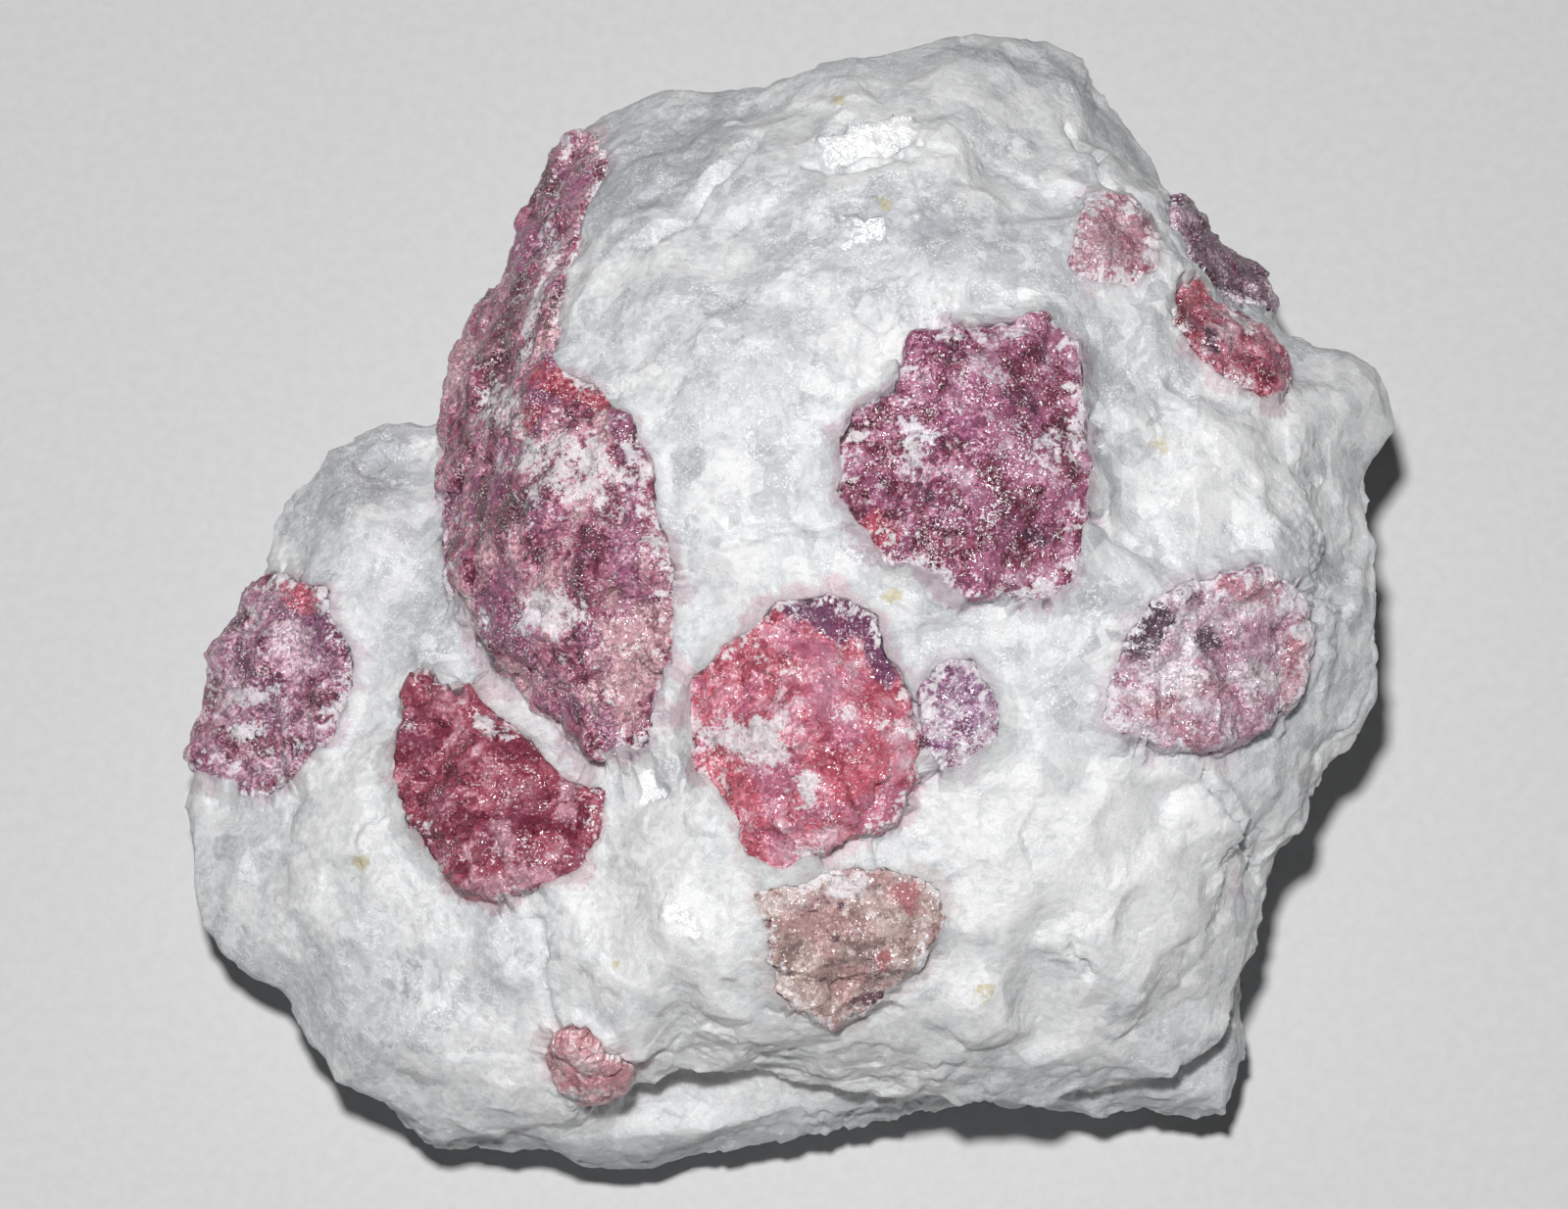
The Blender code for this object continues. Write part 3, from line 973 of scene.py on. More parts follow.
@dataclass(frozen=True)
class StoneFinish:
    """What every stone here shares: gloss from tiny grains, and light that sinks in.

    Attributes:
        ior: Index of refraction.
        scatter: Share of the light that sinks in.
        depth: How deep it sinks.
        spread: Depth of each colour, as a share of that.
    """

    ior: float = 1.53
    scatter: float = 0.3
    depth: float = 1.3
    spread: Colour = (1.0, 0.97, 0.94)

    def _finish(self, graph: Graph, colour: Socket, rough: Socket, normal: Socket) -> None:
        """Puts the shader and the output behind a colour, a roughness and a normal.

        Args:
            graph: The material's graph.
            colour: The colour.
            rough: The roughness.
            normal: The normal.
        """
        feeds = {"Base Color": colour, "Roughness": rough, "Normal": normal}
        shader = graph.node("ShaderNodeBsdfPrincipled", feeds)
        shader.inputs["IOR"].default_value = self.ior
        shader.inputs["Subsurface Weight"].default_value = self.scatter
        shader.inputs["Subsurface Radius"].default_value = self.spread
        shader.inputs["Subsurface Scale"].default_value = self.depth * MM
        graph.node("ShaderNodeOutputMaterial", {"Surface": shader.outputs[0]})

    @staticmethod
    def _start(name: str) -> tuple[bpy.types.Material, Graph]:
        """A new material and the graph to write in.

        Args:
            name: Its name.

        Returns:
            The material and its graph.
        """
        material = bpy.data.materials.new(name)
        material.use_nodes = True
        return material, Graph(material.node_tree)

    @staticmethod
    def _torn(graph: Graph, tint: Tint, torn: Socket, share: float) -> Socket:
        """A stored tint as a mask with torn edges, at a share of its strength."""
        return graph.times(graph.mask(Effects.ragged(), mask=graph.stored(tint), torn=torn), share)

    @staticmethod
    def _glints(graph: Graph, place: Socket, *scales: tuple[float, float]) -> list[bpy.types.Node]:
        """Tiny flat grains at some scales, each with its width and tip, coarse to fine.

        Args:
            graph: The material's graph.
            place: Place in millimetres.
            *scales: Each has the width of a grain and how far it tips the light.

        Returns:
            The placed effects, each of which tips the one before it.
        """
        glints, normal = [], graph.normal()
        for width, tip in scales:
            glint = graph.effect(Effects.glint(), place=place, width=width, tip=tip, normal=normal)
            glints.append(glint)
            normal = glint.outputs["Normal"]
        return glints

    @staticmethod
    def _bump(graph: Graph, height: Socket, depth: float, normal: Socket) -> Socket:
        """A normal with fine relief of a depth."""
        feeds = {"Distance": depth * MM, "Height": height, "Normal": normal}
        return graph.node("ShaderNodeBump", feeds).outputs["Normal"]


@dataclass(frozen=True)
class FeldsparFinish(StoneFinish):
    """White, slightly blue, sugary feldspar with glassy grains.

    Attributes:
        milk: Colour of the whitest grains, and of the painted light on the front slopes.
        cool: Colour of the bluer grains.
        glass: Colour of the see-through grains, and of the painted shade on the back-left slope
            and rims.
        shade: Colour of the painted shade in the hollows and of the painted shadow low down.
        ochre: Colour of the rusty specks.
        vein: Colour of the veins between grains.
        powder: Colour of the powder and the scratches.
        painted_spark_colour: Colour of the painted highlights, tiny bright flakes.
    """

    milk: Colour = (0.86, 0.865, 0.87)
    cool: Colour = (0.66, 0.68, 0.70)
    glass: Colour = (0.48, 0.495, 0.525)
    shade: Colour = (0.38, 0.40, 0.42)
    ochre: Colour = (0.62, 0.53, 0.30)
    vein: Colour = (0.94, 0.94, 0.95)
    powder: Colour = (0.91, 0.91, 0.92)
    painted_spark_colour: Colour = (0.99, 0.99, 0.99)
    scatter: float = 0.7

    def material(self) -> bpy.types.Material:
        """Builds the finish.

        Returns:
            The material.
        """
        material, graph = self._start("feldspar")
        place = graph.place()
        coarse, fine = self._glints(graph, place, (1.5, 0.13), (0.42, 0.2))
        torn = graph.cloud(place, 1.6, 5.0, 3.0, 0.74)
        streak = graph.effect(Effects.fibres(), place=place, lay=graph.stored(Tint.LAY),
                              width=0.7).outputs["Streak"]
        colour = self._grain(graph, place, torn, coarse.outputs["Draw"])
        lightness = graph.ramp(fine.outputs["Draw"], 0.0, 1.0, 0.93, 1.05)
        colour = graph.vector("SCALE", colour, lightness)
        colour = self._flecks(graph, place, torn, streak, colour)
        # painted shade in the hollows, and painted shadow on the low parts under the rim
        crevice = graph.times(graph.stored(Tint.CREVICE), 0.5)
        colour = graph.mix(crevice, colour, self.shade)
        clean = graph.mask(Effects.ragged(), mask=graph.stored(Tint.POLISH), torn=streak)
        dull = graph.ramp(clean, 0.2, 0.9, 0.34, 0.0)
        rough = graph.total(graph.ramp(fine.outputs["Draw"], 0.1, 0.9, 0.14, 0.34), dull)
        height = graph.cloud(place, 0.45, 2.0, 2.0, 0.7)
        self._finish(graph, colour, rough, self._bump(graph, height, 0.11, fine.outputs["Normal"]))
        return material

    def _grain(self, graph: Graph, place: Socket, torn: Socket, part: Socket) -> Socket:
        """The stone's colour: white, bluish and see-through grains, with some painted light and
        shade.

        Args:
            graph: The material's graph.
            place: Place in millimetres.
            torn: Noise that tears the edges of the stains.
            part: Random draw of each part of a grain.

        Returns:
            The colour.
        """
        grains = graph.effect(Effects.grains(), place=place, width=3.4)
        # whiter feldspar, partly painted light that brightens the front slopes
        milk = graph.times(graph.stored(Tint.MILK), 0.3)
        ragged = graph.math("SUBTRACT", graph.times(torn, 0.26), milk)
        lean = graph.total(graph.cloud(place, 8.0, 3.0, 1.0), ragged, graph.times(part, 0.24))
        colour = graph.scale_of(lean, (0.58, self.milk), (0.86, self.cool))
        clear = graph.total(graph.times(grains.outputs["Draw"], 0.5), graph.times(part, 0.3),
                            ragged)
        colour = graph.mix(graph.ramp(clear, 0.66, 0.74, 0.0, 0.42), colour, self.glass)
        # grey see-through stains, partly painted shade on the back-left slope and the rims
        colour = graph.mix(self._torn(graph, Tint.GLASS, torn, 0.75), colour, self.glass)
        vein = graph.times(grains.outputs["Vein"], graph.ramp(torn, 0.45, 0.65, 0.0, 0.4))
        return graph.mix(vein, colour, self.vein)

    def _flecks(self, graph: Graph, place: Socket, torn: Socket, streak: Socket, colour: Socket
                ) -> Socket:
        """Adds white scratches, powder and painted highlights to a colour, and then the stains.

        Args:
            graph: The material's graph.
            place: Place in millimetres.
            torn: Noise that tears the edges of the stains.
            streak: Noise that runs along the fibres.
            colour: The stone's own colour.

        Returns:
            The colour.
        """
        powder = graph.mask(Effects.powder(), place=place, width=0.8, amount=0.3)
        white = graph.total(graph.ramp(streak, 0.5, 0.75, 0.0, 0.5), graph.times(powder, 0.5))
        opaque = graph.ramp(graph.stored(Tint.GLASS), 0.3, 0.8, 1.0, 0.4)
        colour = graph.mix(graph.times(white, opaque), colour, self.powder)
        colour = graph.mix(graph.ramp(streak, 0.48, 0.34, 0.0, 0.45), colour, self.cool)
        # painted highlights: tiny white glints put into the colour
        painted_sparks = graph.mask(Effects.painted_sparks(), place=place, width=0.16, dense=0.13)
        colour = graph.mix(graph.times(painted_sparks, 0.8), colour, self.painted_spark_colour)
        colour = graph.mix(self._torn(graph, Tint.OCHRE, torn, 0.7), colour, self.ochre)
        halo = graph.stored(Tint.HALO, "Color")
        return graph.mix(self._torn(graph, Tint.BLUSH, torn, 0.34), colour, halo)


@dataclass(frozen=True)
class TourmalineFinish(StoneFinish):
    """Broken tourmaline: mottled body, clear zones, white powder, sparkling grains, painted
    highlights and shade.

    Attributes:
        dark: Darkest of the four colours that the body goes through, and of the painted shade.
        body: The second, and the main one.
        light: The third.
        pale: The palest.
        flush: Colour that comes and goes in patches.
        deep: Colour of the dark zone.
        rose: Colour of the clear red zone.
        lift: How far the body leans to its pale end.
        powder: Amount of white powder everywhere.
        grit: How far the smallest grains differ in brightness.
        painted_sparkle_density: How dense the painted highlights, tiny bright flakes, are.
        stretch: Scale of the mottling along each axis.
        white: Colour of the powder.
        painted_spark_colour: Colour of the painted highlights.
        painted_glint_colour: Colour of the painted highlight on a clean cleavage face.
    """

    dark: Colour = (0.13, 0.035, 0.06)
    body: Colour = (0.30, 0.085, 0.14)
    light: Colour = (0.50, 0.22, 0.30)
    pale: Colour = (0.70, 0.52, 0.60)
    flush: Colour = (0.36, 0.12, 0.24)
    deep: Colour = (0.09, 0.04, 0.07)
    rose: Colour = (0.48, 0.08, 0.13)
    lift: float = 0.0
    powder: float = 0.2
    grit: float = 0.32
    painted_sparkle_density: float = 0.12
    stretch: tuple[float, float, float] = (1.0, 1.0, 1.0)
    white: Colour = (0.84, 0.80, 0.83)
    painted_spark_colour: Colour = (0.97, 0.90, 0.94)
    painted_glint_colour: Colour = (0.90, 0.86, 0.95)
    ior: float = 1.63
    scatter: float = 0.3
    depth: float = 0.7
    spread: Colour = (1.0, 0.45, 0.55)

    def material(self, name: str) -> bpy.types.Material:
        """Builds the finish.

        Args:
            name: Name of the material.

        Returns:
            The material.
        """
        material, graph = self._start(name)
        place = graph.place()
        coarse, fine = self._glints(graph, place, (1.0, 0.35), (0.2, 0.6))
        powder = self._powder(graph, place)
        colour = self._body(graph, place, coarse.outputs["Draw"], fine.outputs["Draw"])
        colour = graph.mix(graph.times(powder, 0.85), colour, self.white)
        # painted highlights: tiny bright glints put into the colour
        painted_sparks = graph.mask(Effects.painted_sparks(), place=place, width=0.15, dense=self.painted_sparkle_density)
        colour = graph.mix(graph.times(painted_sparks, 0.85), colour, self.painted_spark_colour)
        # painted highlight: the clean cleavage faces are painted a light lavender
        clean = self._torn(graph, Tint.POLISH, graph.cloud(place, 0.7, 2.0, 8.0), 0.8)
        colour = graph.mix(clean, colour, self.painted_glint_colour)
        rough = graph.total(graph.ramp(fine.outputs["Draw"], 0.0, 1.0, 0.12, 0.5),
                            graph.times(powder, 0.3))
        height = graph.cloud(place, 0.3, 2.0, 2.0)
        self._finish(graph, colour, rough, self._bump(graph, height, 0.08, fine.outputs["Normal"]))
        return material

    def _powder(self, graph: Graph, place: Socket) -> Socket:
        """Mask of the white that is left on the crystal, thicker on its stains and its rim.

        Args:
            graph: The material's graph.
            place: Place in millimetres.

        Returns:
            The mask.
        """
        drift = graph.math("SUBTRACT", graph.cloud(place, 4.0, 2.0, 6.0), 0.5)
        amount = graph.total(graph.stored(Tint.DUST), self.powder, graph.times(drift, 1.1),
                             graph.times(graph.stored(Tint.RIM), 0.6))
        return graph.mask(Effects.powder(), place=place, width=1.3, amount=amount)

    def _body(self, graph: Graph, place: Socket, coarse: Socket, fine: Socket) -> Socket:
        """The stone's own colour, from zone to grain, with painted shade in the hollows.

        Args:
            graph: The material's graph.
            place: Place in millimetres.
            coarse: Random draw of each large grain.
            fine: Random draw of each small grain.

        Returns:
            The colour.
        """
        torn = graph.cloud(place, 1.3, 4.0, 3.0, 0.7)
        stretched = graph.vector("MULTIPLY", place, self.stretch)
        value = graph.total(graph.times(graph.cloud(stretched, 2.8, 4.0, 5.0), 1.3),
                            graph.times(torn, 0.5), graph.times(coarse, 0.24), self.lift - 0.42)
        colour = graph.scale_of(value, (0.42, self.dark), (0.55, self.body), (0.67, self.light),
                                (0.84, self.pale))
        flush = graph.ramp(graph.cloud(stretched, 3.4, 3.0, 9.0), 0.50, 0.60, 0.0, 0.7)
        colour = graph.mix(flush, colour, self.flush)
        for tint, zone, share in ((Tint.ROSE, self.rose, 0.85), (Tint.PALE, self.pale, 0.8),
                                  (Tint.DEEP, self.deep, 0.92)):
            colour = graph.mix(self._torn(graph, tint, torn, share), colour, zone)
        colour = graph.vector("SCALE", colour,
                              graph.ramp(fine, 0.0, 1.0, 1.0 - self.grit, 1.0 + self.grit))
        # painted shade: the hollows are darkened towards the darkest colour
        hollow = graph.times(graph.stored(Tint.CREVICE), 0.3)
        return graph.mix(hollow, colour, self.dark)


@dataclass(frozen=True)
class PaperFinish(StoneFinish):
    """Plain pale paper under the specimen."""

    scatter: float = 0.0
    near: Colour = (0.74, 0.74, 0.74)
    far: Colour = (0.70, 0.70, 0.705)

    def material(self) -> bpy.types.Material:
        """Builds the finish.

        Returns:
            The material.
        """
        material, graph = self._start("pale_paper")
        fibre = graph.cloud(graph.place(), 0.9, 4.0, 1.0)
        colour = graph.mix(graph.ramp(fibre, 0.3, 0.7), self.far, self.near)
        rough = graph.ramp(fibre, 0.2, 0.8, 0.8, 0.95)
        self._finish(graph, colour, rough, self._bump(graph, fibre, 0.02, graph.normal()))
        return material


# ---------------------------------------------------------------------------------------------
# The block
# ---------------------------------------------------------------------------------------------

GLINT_SLOPE = (0.0, 0.16)     # a face that rises like this sends the light back to the viewer
TOUCHING = 0.02               # white this near to a crystal has reached it
STEP_SEARCH = 6.0             # how far up and down a crystal's edge is looked for
STEP_COVER = 0.03             # how far the white stands over that edge
STEP_LIMIT = 1.8              # a step higher than this is a wall, and stays


def finish_piece(piece: bpy.types.Object, node: str, material: bpy.types.Material) -> None:
    """Dresses a piece, attaches it to the body and hides its CAD node.

    Args:
        piece: The piece.
        node: The CAD node, which is hidden.
        material: Its finish.
    """
    piece.data.materials.append(material)
    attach(piece, BODY)
    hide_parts(node)
    log.info("%s: %d triangles", piece.name, len(piece.data.polygons))


@dataclass
class TourmalineCrystal:
    """One crystal in its pocket.

    Attributes:
        name: The crystal's own name, which its CAD node has after the mineral's.
        finish: How it looks.
        stains: Listed zones and powder, by tint.
        triangles: Most triangles of the finished piece.
        swell: How far it fills the gap to its pocket.
        voxel: Spacing of the points before thinning.
        crease: Edges sharper than this stay sharp, in degrees.
        facets: Scales of broken grain, coarse to fine.
        streaks: Ridges along its length, if it has them.
        faces: Clean cleavage faces, which carry a painted glint.
        rim: Least and greatest width of the white along its edge.
        rim_width: How far it is along the edge from a thin place to a wide one.
        piece: The finished piece.
    """

    name: str
    finish: TourmalineFinish
    stains: Stains = field(default_factory=dict)
    triangles: int = 30_000
    swell: float = 0.36
    voxel: float = 0.26
    quick_voxel: float = 1.8
    crease: float = 16.0
    facets: tuple[Facets, ...] = (
        Facets(cell=3.4, step=0.16, tilt=0.42, seed=6.1, bevel=0.1),
        Facets(cell=1.4, step=0.10, tilt=0.22, seed=17.9, bevel=0.15),
        Facets(cell=0.6, step=0.045, tilt=0.10, seed=41.3),
    )
    streaks: Streaks | None = None
    faces: tuple[CleavageFace, ...] = ()
    rim: tuple[float, float] = (0.0, 1.3)
    rim_width: float = 2.2
    piece: bpy.types.Object = field(init=False)

    @property
    def node(self) -> str:
        """Name of the CAD node and of its material slot."""
        return "tourmaline_" + self.name

    def build(self) -> None:
        """Models and dresses the crystal."""
        self.piece = working_copy(self.node, self.name + "_crystal")
        remesh(self.piece, self.voxel * (1.0))
        self._break()
        thin(self.piece, self.triangles)
        shade(self.piece, self.crease)
        points, _ = read_points(self.piece)
        for tint in (Tint.DEEP, Tint.PALE, Tint.ROSE, Tint.DUST):
            write_tint(self.piece, tint, stain_values(points, self.stains.get(tint, ())))
        # painted shade in the hollows
        write_tint(self.piece, Tint.CREVICE, hollows(self.piece, rounds=10, depth=0.25))
        write_polish(self.piece, self.faces)
        finish_piece(self.piece, self.node, self.finish.material(self.node))

    def whiten_rim(self, block: bpy.types.Object) -> None:
        """Stores how near each point is to the block, where white has grown over the edge.

        Args:
            block: The finished block.
        """
        points, _ = read_points(self.piece)
        distances, _, _ = nearest_surface(points, [block], self.rim[1])
        reach = wavering_reach(points, *self.rim, self.rim_width)
        write_tint(self.piece, Tint.RIM, 1.0 - distances / np.maximum(reach, LEAST_REACH))

    def _break(self) -> None:
        """Swells the crystal into its gap and breaks its surface."""
        points, normals = read_points(self.piece)
        scales = (*self.facets, self.streaks) if self.streaks else self.facets
        for i, (point, normal) in enumerate(zip(points, normals)):
            place = Vector(point)
            points[i] += normal * (self.swell + sum(scale.rise(place) for scale in scales))
            points[i, 2] += levelling(self.faces, place, points[i, 2], normal[2])
        write_points(self.piece, points)


@dataclass
class FeldsparBlock:
    """The broken white block.

    Attributes:
        voxel: Spacing of the points before thinning.
        crease: Edges sharper than this stay sharp, in degrees.
        triangles: Most triangles of the finished piece.
        facets: Scales of broken grain, coarse to fine.
        lay: How its large grains lie.
        split: Scales of stairs in the grains.
        faces: Clean cleavage faces.
        broken: Where the break is blocky.
        broken_gain: How much harsher it is in the middle of such a place.
        calm: Mean harshness, and how far it swings from patch to patch.
        calm_width: Width of the calm patches.
        harsh_limits: Least and greatest harshness of the break.
        harsh_slopes: How far a point faces up, and the share of the relief that it then has.
        cracks: Open cracks.
        stains: Listed stains, by tint.
        halo: Least and greatest reach of a crystal's pink into the white.
        halo_width: How far it is from a place of little reach to one of much.
        bleed: Colour of pink that is near no crystal.
        grip: How far from a crystal the white is drawn up to it.
        overlap: How far the white goes over a crystal's edge at most.
        least_overlap: The least of it, as a share of that.
        edge_inset: How far inside its outline a crystal's height is read.
        painted_shadow_height: Height under which shadow is painted on the stone, as under the rim.
        painted_shadow_fade: How far below that the painted shadow is at its full grey.
    """

    voxel: float = 0.32
    quick_voxel: float = 2.0
    crease: float = 10.0
    triangles: int = 190_000
    facets: tuple[Facets, ...] = (
        Facets(cell=5.2, step=0.12, tilt=0.32, seed=8.3, bevel=0.06),
        Facets(cell=2.3, step=0.08, tilt=0.22, seed=4.7, bevel=0.08),
        Facets(cell=1.1, step=0.05, tilt=0.11, seed=12.4, bevel=0.12),
    )
    lay: Lay = Lay(
        grain=6.0, seed=2.2,
        beds=(
            (Spot(-20.3, -28.0, 13.0, 8.0), 98.0), (Spot(20.0, -21.5, 14.0, 8.0), -12.0),
            (Spot(1.7, -1.9, 11.0, 4.0), 8.0), (Spot(-10.3, 22.8, 5.0, 8.0), 60.0),
            (Spot(-26.0, 2.0, 5.0, 7.0), 62.0), (Spot(5.0, 26.0, 6.0, 5.0), 12.0),
            (Spot(21.0, 0.5, 4.5, 5.0), -42.0),
        ),
    )
    split: tuple[SplitGrain, ...] = (SplitGrain(1.9, 0.18), SplitGrain(0.8, 0.08))
    faces: tuple[CleavageFace, ...] = (
        CleavageFace(Spot(5.2, 26.4, 3.3, 1.35, 14), 31.6, GLINT_SLOPE),
        CleavageFace(Spot(5.1, 19.2, 1.5, 1.1, 5), 35.0, GLINT_SLOPE),
        CleavageFace(Spot(-8.9, -16.2, 0.9, 1.3, 15), 29.1, GLINT_SLOPE),
        CleavageFace(Spot(-6.9, -25.3, 1.5, 0.8, -35), 31.0, (0.05, 0.12)),
    )
    broken: tuple[Spot, ...] = (
        Spot(17.0, 34.0, 7.0, 3.5, -25), Spot(-8.0, 25.5, 4.0, 8.0, -40),
        Spot(35.0, 4.0, 3.5, 9.0), Spot(-29.0, 8.5, 7.0, 3.5, 25),
        Spot(17.0, -5.0, 8.0, 2.5, -10),
    )
    broken_gain: float = 1.3
    calm: tuple[float, float] = (0.85, 1.1)
    calm_width: float = 11.0
    harsh_limits: tuple[float, float] = (0.4, 1.4)
    harsh_slopes: tuple[tuple[float, ...], tuple[float, ...]] = (
        (0.0, 0.3, 0.5, 0.88, 0.97), (1.3, 1.0, 0.42, 0.42, 0.85),
    )
    cracks: tuple[Crack, ...] = (
        Crack(((1.1, 24.6), (4.8, 24.3), (7.7, 24.9)), 0.6, 0.45),
        Crack(((26.6, -15.3), (28.9, -17.5), (30.8, -20.1)), 0.8, 0.4),
        Crack(((-16.3, -24.1), (-15.8, -27.6), (-15.3, -30.3)), 0.6, 0.4),
        Crack(((17.9, -25.7), (18.4, -27.2), (19.8, -28.3)), 0.5, 0.3),
        Crack(((-2.1, 27.4), (-5.2, 24.1), (-7.1, 20.9), (-9.7, 19.6)), 0.9, 0.7),
        Crack(((18.7, 29.3), (20.6, 26.1), (21.2, 24.1)), 0.9, 0.5),
        Crack(((-4.6, -1.8), (-0.2, -0.8), (4.8, -1.6), (8.0, -3.2)), 0.5, 0.6),
        Crack(((18.4, 1.2), (20.6, -0.8), (24.0, -2.6)), 0.6, 0.45),
        Crack(((33.2, -2.6), (36.7, -3.2)), 0.9, 0.5),
    )
    stains: Stains = field(default_factory=lambda: {
        # grey see-through grains; the long ovals on the rims and the back-left slope are painted
        # shade
        Tint.GLASS: (
            (9.9, 20.0, 2.6, 2.2, 0, 0.9), (19.6, 9.7, 1.5, 2.2, 0, 0.9),
            (-6.5, 3.1, 1.4, 1.4, 0, 0.8), (21.0, -5.5, 2.6, 1.0, 5, 1.0),
            (35.4, -0.8, 2.0, 1.0, 0, 0.9), (-8.6, 26.6, 7.5, 3.4, 43, 0.9),
            (-23.0, -0.1, 1.8, 4.0, 0, 0.6), (20.5, 32.5, 5.5, 1.2, -52, 0.9),
            (14.0, 34.6, 5.0, 1.0, -8, 0.7), (-27.5, 10.8, 5.0, 1.4, 28, 0.8),
            (14.6, 26.9, 2.4, 1.6, 0, 0.5), (-29.0, 8.4, 5.5, 2.8, 38, 0.9),
            (-0.2, 9.1, 3.0, 1.6, 0, 0.35), (-10.5, 20.5, 2.6, 2.0, 40, 0.6),
            (7.6, 12.6, 2.6, 1.2, 10, 0.5), (-3.6, 14.0, 2.0, 3.0, 30, 0.4),
            (17.4, 1.4, 1.2, 2.4, 10, 0.6), (14.0, -9.0, 2.0, 1.0, 0, 0.5),
        ),
        # whiter feldspar; the four ovals on the front slopes are also painted light
        Tint.MILK: (
            (-7.6, -24.5, 6.0, 7.0, 0, 1.0), (20.0, -22.0, 11.0, 7.0, -10, 0.9),
            (29.0, 4.0, 5.0, 8.0, 0, 0.4), (13.0, -30.5, 9.0, 2.4, 5, 0.9),
            (-26.5, -14.5, 9.0, 9.0, 0, 0.45), (12.0, 27.0, 9.0, 5.0, 0, 0.45),
            (-6.0, -32.8, 15.0, 2.8, 3, 1.0),
        ),
        Tint.OCHRE: (
            (3.4, 30.1, 0.5, 0.5, 0, 0.9), (-27.8, -19.7, 0.6, 0.5, 0, 0.8),
            (12.3, -29.5, 1.1, 0.6, 20, 0.8), (24.1, 5.3, 1.0, 0.6, 0, 0.5),
            (6.6, -5.3, 0.6, 0.5, 0, 1.0), (6.4, 21.2, 0.4, 0.7, 0, 0.9),
            (-11.1, -27.6, 0.4, 0.4, 0, 0.7),
        ),
        Tint.BLUSH: (
            (-19.2, -8.3, 1.6, 1.0, -40, 0.8), (-7.9, -12.2, 1.6, 1.4, 0, 0.8),
            (30.6, 22.4, 1.4, 0.8, 0, 0.7), (29.3, -21.3, 1.3, 1.0, 0, 0.5),
            (-8.2, -8.5, 0.8, 1.6, 0, 0.7),
        ),
    })
    halo: tuple[float, float] = (0.0, 1.8)
    halo_width: float = 3.0
    bleed: Colour = (0.62, 0.36, 0.46)
    grip: float = 1.1
    overlap: float = 0.4
    least_overlap: float = 0.2
    edge_inset: float = 0.7
    painted_shadow_height: float = 13.5
    painted_shadow_fade: float = 4.0

    def build(self, crystals: list[TourmalineCrystal]) -> bpy.types.Object:
        """Models and dresses the block.

        Args:
            crystals: The built crystals that it holds.

        Returns:
            The finished piece.
        """
        piece = working_copy("matrix", "feldspar_block")
        remesh(piece, self.voxel * (1.0))
        self._break(piece, [crystal.piece for crystal in crystals])
        thin(piece, self.triangles)
        shade(piece, self.crease)
        self._stain(piece, crystals)
        finish_piece(piece, "matrix", FeldsparFinish().material())
        return piece

    def _break(self, piece: bpy.types.Object, crystals: list[bpy.types.Object]) -> None:
        """Breaks the surface into facets and stairs, and closes it on the crystals.

        Args:
            piece: The block, finely remeshed.
            crystals: The finished crystals.
        """
        points, normals = read_points(piece)
        foot = points[:, 2] < FOOT_HEIGHT
        for i in np.flatnonzero(~foot):
            place, normal = Vector(points[i]), normals[i]
            turn, draw = self.lay.read(place)
            rise = sum(scale.rise(place) for scale in self.facets)
            rise += sum(scale.rise(place, turn, draw) for scale in self.split)
            rise *= self._harshness(place, normal[2])
            if normal[2] > CRACK_SLOPE:
                rise += sum(crack.rise(place) for crack in self.cracks)
            points[i] += normal * rise
            points[i, 2] += levelling(self.faces, place, points[i, 2], normal[2])
        self._close_on(points, normals[:, 2], crystals)
        write_points(piece, points)

    def _harshness(self, place: Vector, upward: float) -> float:
        """How rough the break is: calm here and there and on the slopes, harsh where it broke.

        Args:
            place: Point of the surface.
            upward: How far it faces up.

        Returns:
            What the relief is multiplied by.
        """
        low, high = self.harsh_limits
        mean, swing = self.calm
        calm = min(high, max(low, mean + swing * noise.noise(place / self.calm_width)))
        steepness = float(np.interp(upward, *self.harsh_slopes))
        nearness = max(0.0, *(spot.inside(place) for spot in self.broken))
        broken = 1.0 + self.broken_gain * nearness
        return min(high, calm * steepness * broken)

    def _close_on(self, points: np.ndarray, upward: np.ndarray, crystals: list[bpy.types.Object]
                  ) -> None:
        """Draws the white up to the crystals' edges, level with them, and here and there over.

        Args:
            points: Points of the block, which are moved.
            upward: How far each point faces up.
            crystals: The crystals.
        """
        distances, places, owners = nearest_surface(points, crystals, self.grip)
        trees = [surface_tree(crystal) for crystal in crystals]
        for i in np.flatnonzero((distances < self.grip) & (distances > TOUCHING)):
            way = (places[i] - points[i]) / distances[i]
            more = max(0.0, noise.noise(Vector(points[i]) * 0.85))
            over = self.overlap * (self.least_overlap + more)
            pull = 1.0 - (distances[i] / self.grip) ** 2
            points[i] += way * pull * (distances[i] * 0.9 + over)
            if upward[i] > WALL:
                edge = places[i] + way * self.edge_inset
                points[i, 2] += pull * self._step(trees[owners[i]], edge, points[i, 2])

    @staticmethod
    def _step(crystal: BVHTree, place: np.ndarray, height: float) -> float:
        """How far a crystal's edge stands over the white beside it, if it isn't a whole wall.

        Args:
            crystal: The crystal's surface.
            place: Place just inside its edge.
            height: Height of the white.

        Returns:
            The difference, or nought at a wall.
        """
        above = Vector((place[0], place[1], height + STEP_SEARCH))
        hit = crystal.ray_cast(above, Vector((0, 0, -1)), 2.0 * STEP_SEARCH)[0]
        gap = 0.0 if hit is None else hit.z + STEP_COVER - height
        return gap if abs(gap) < STEP_LIMIT else 0.0

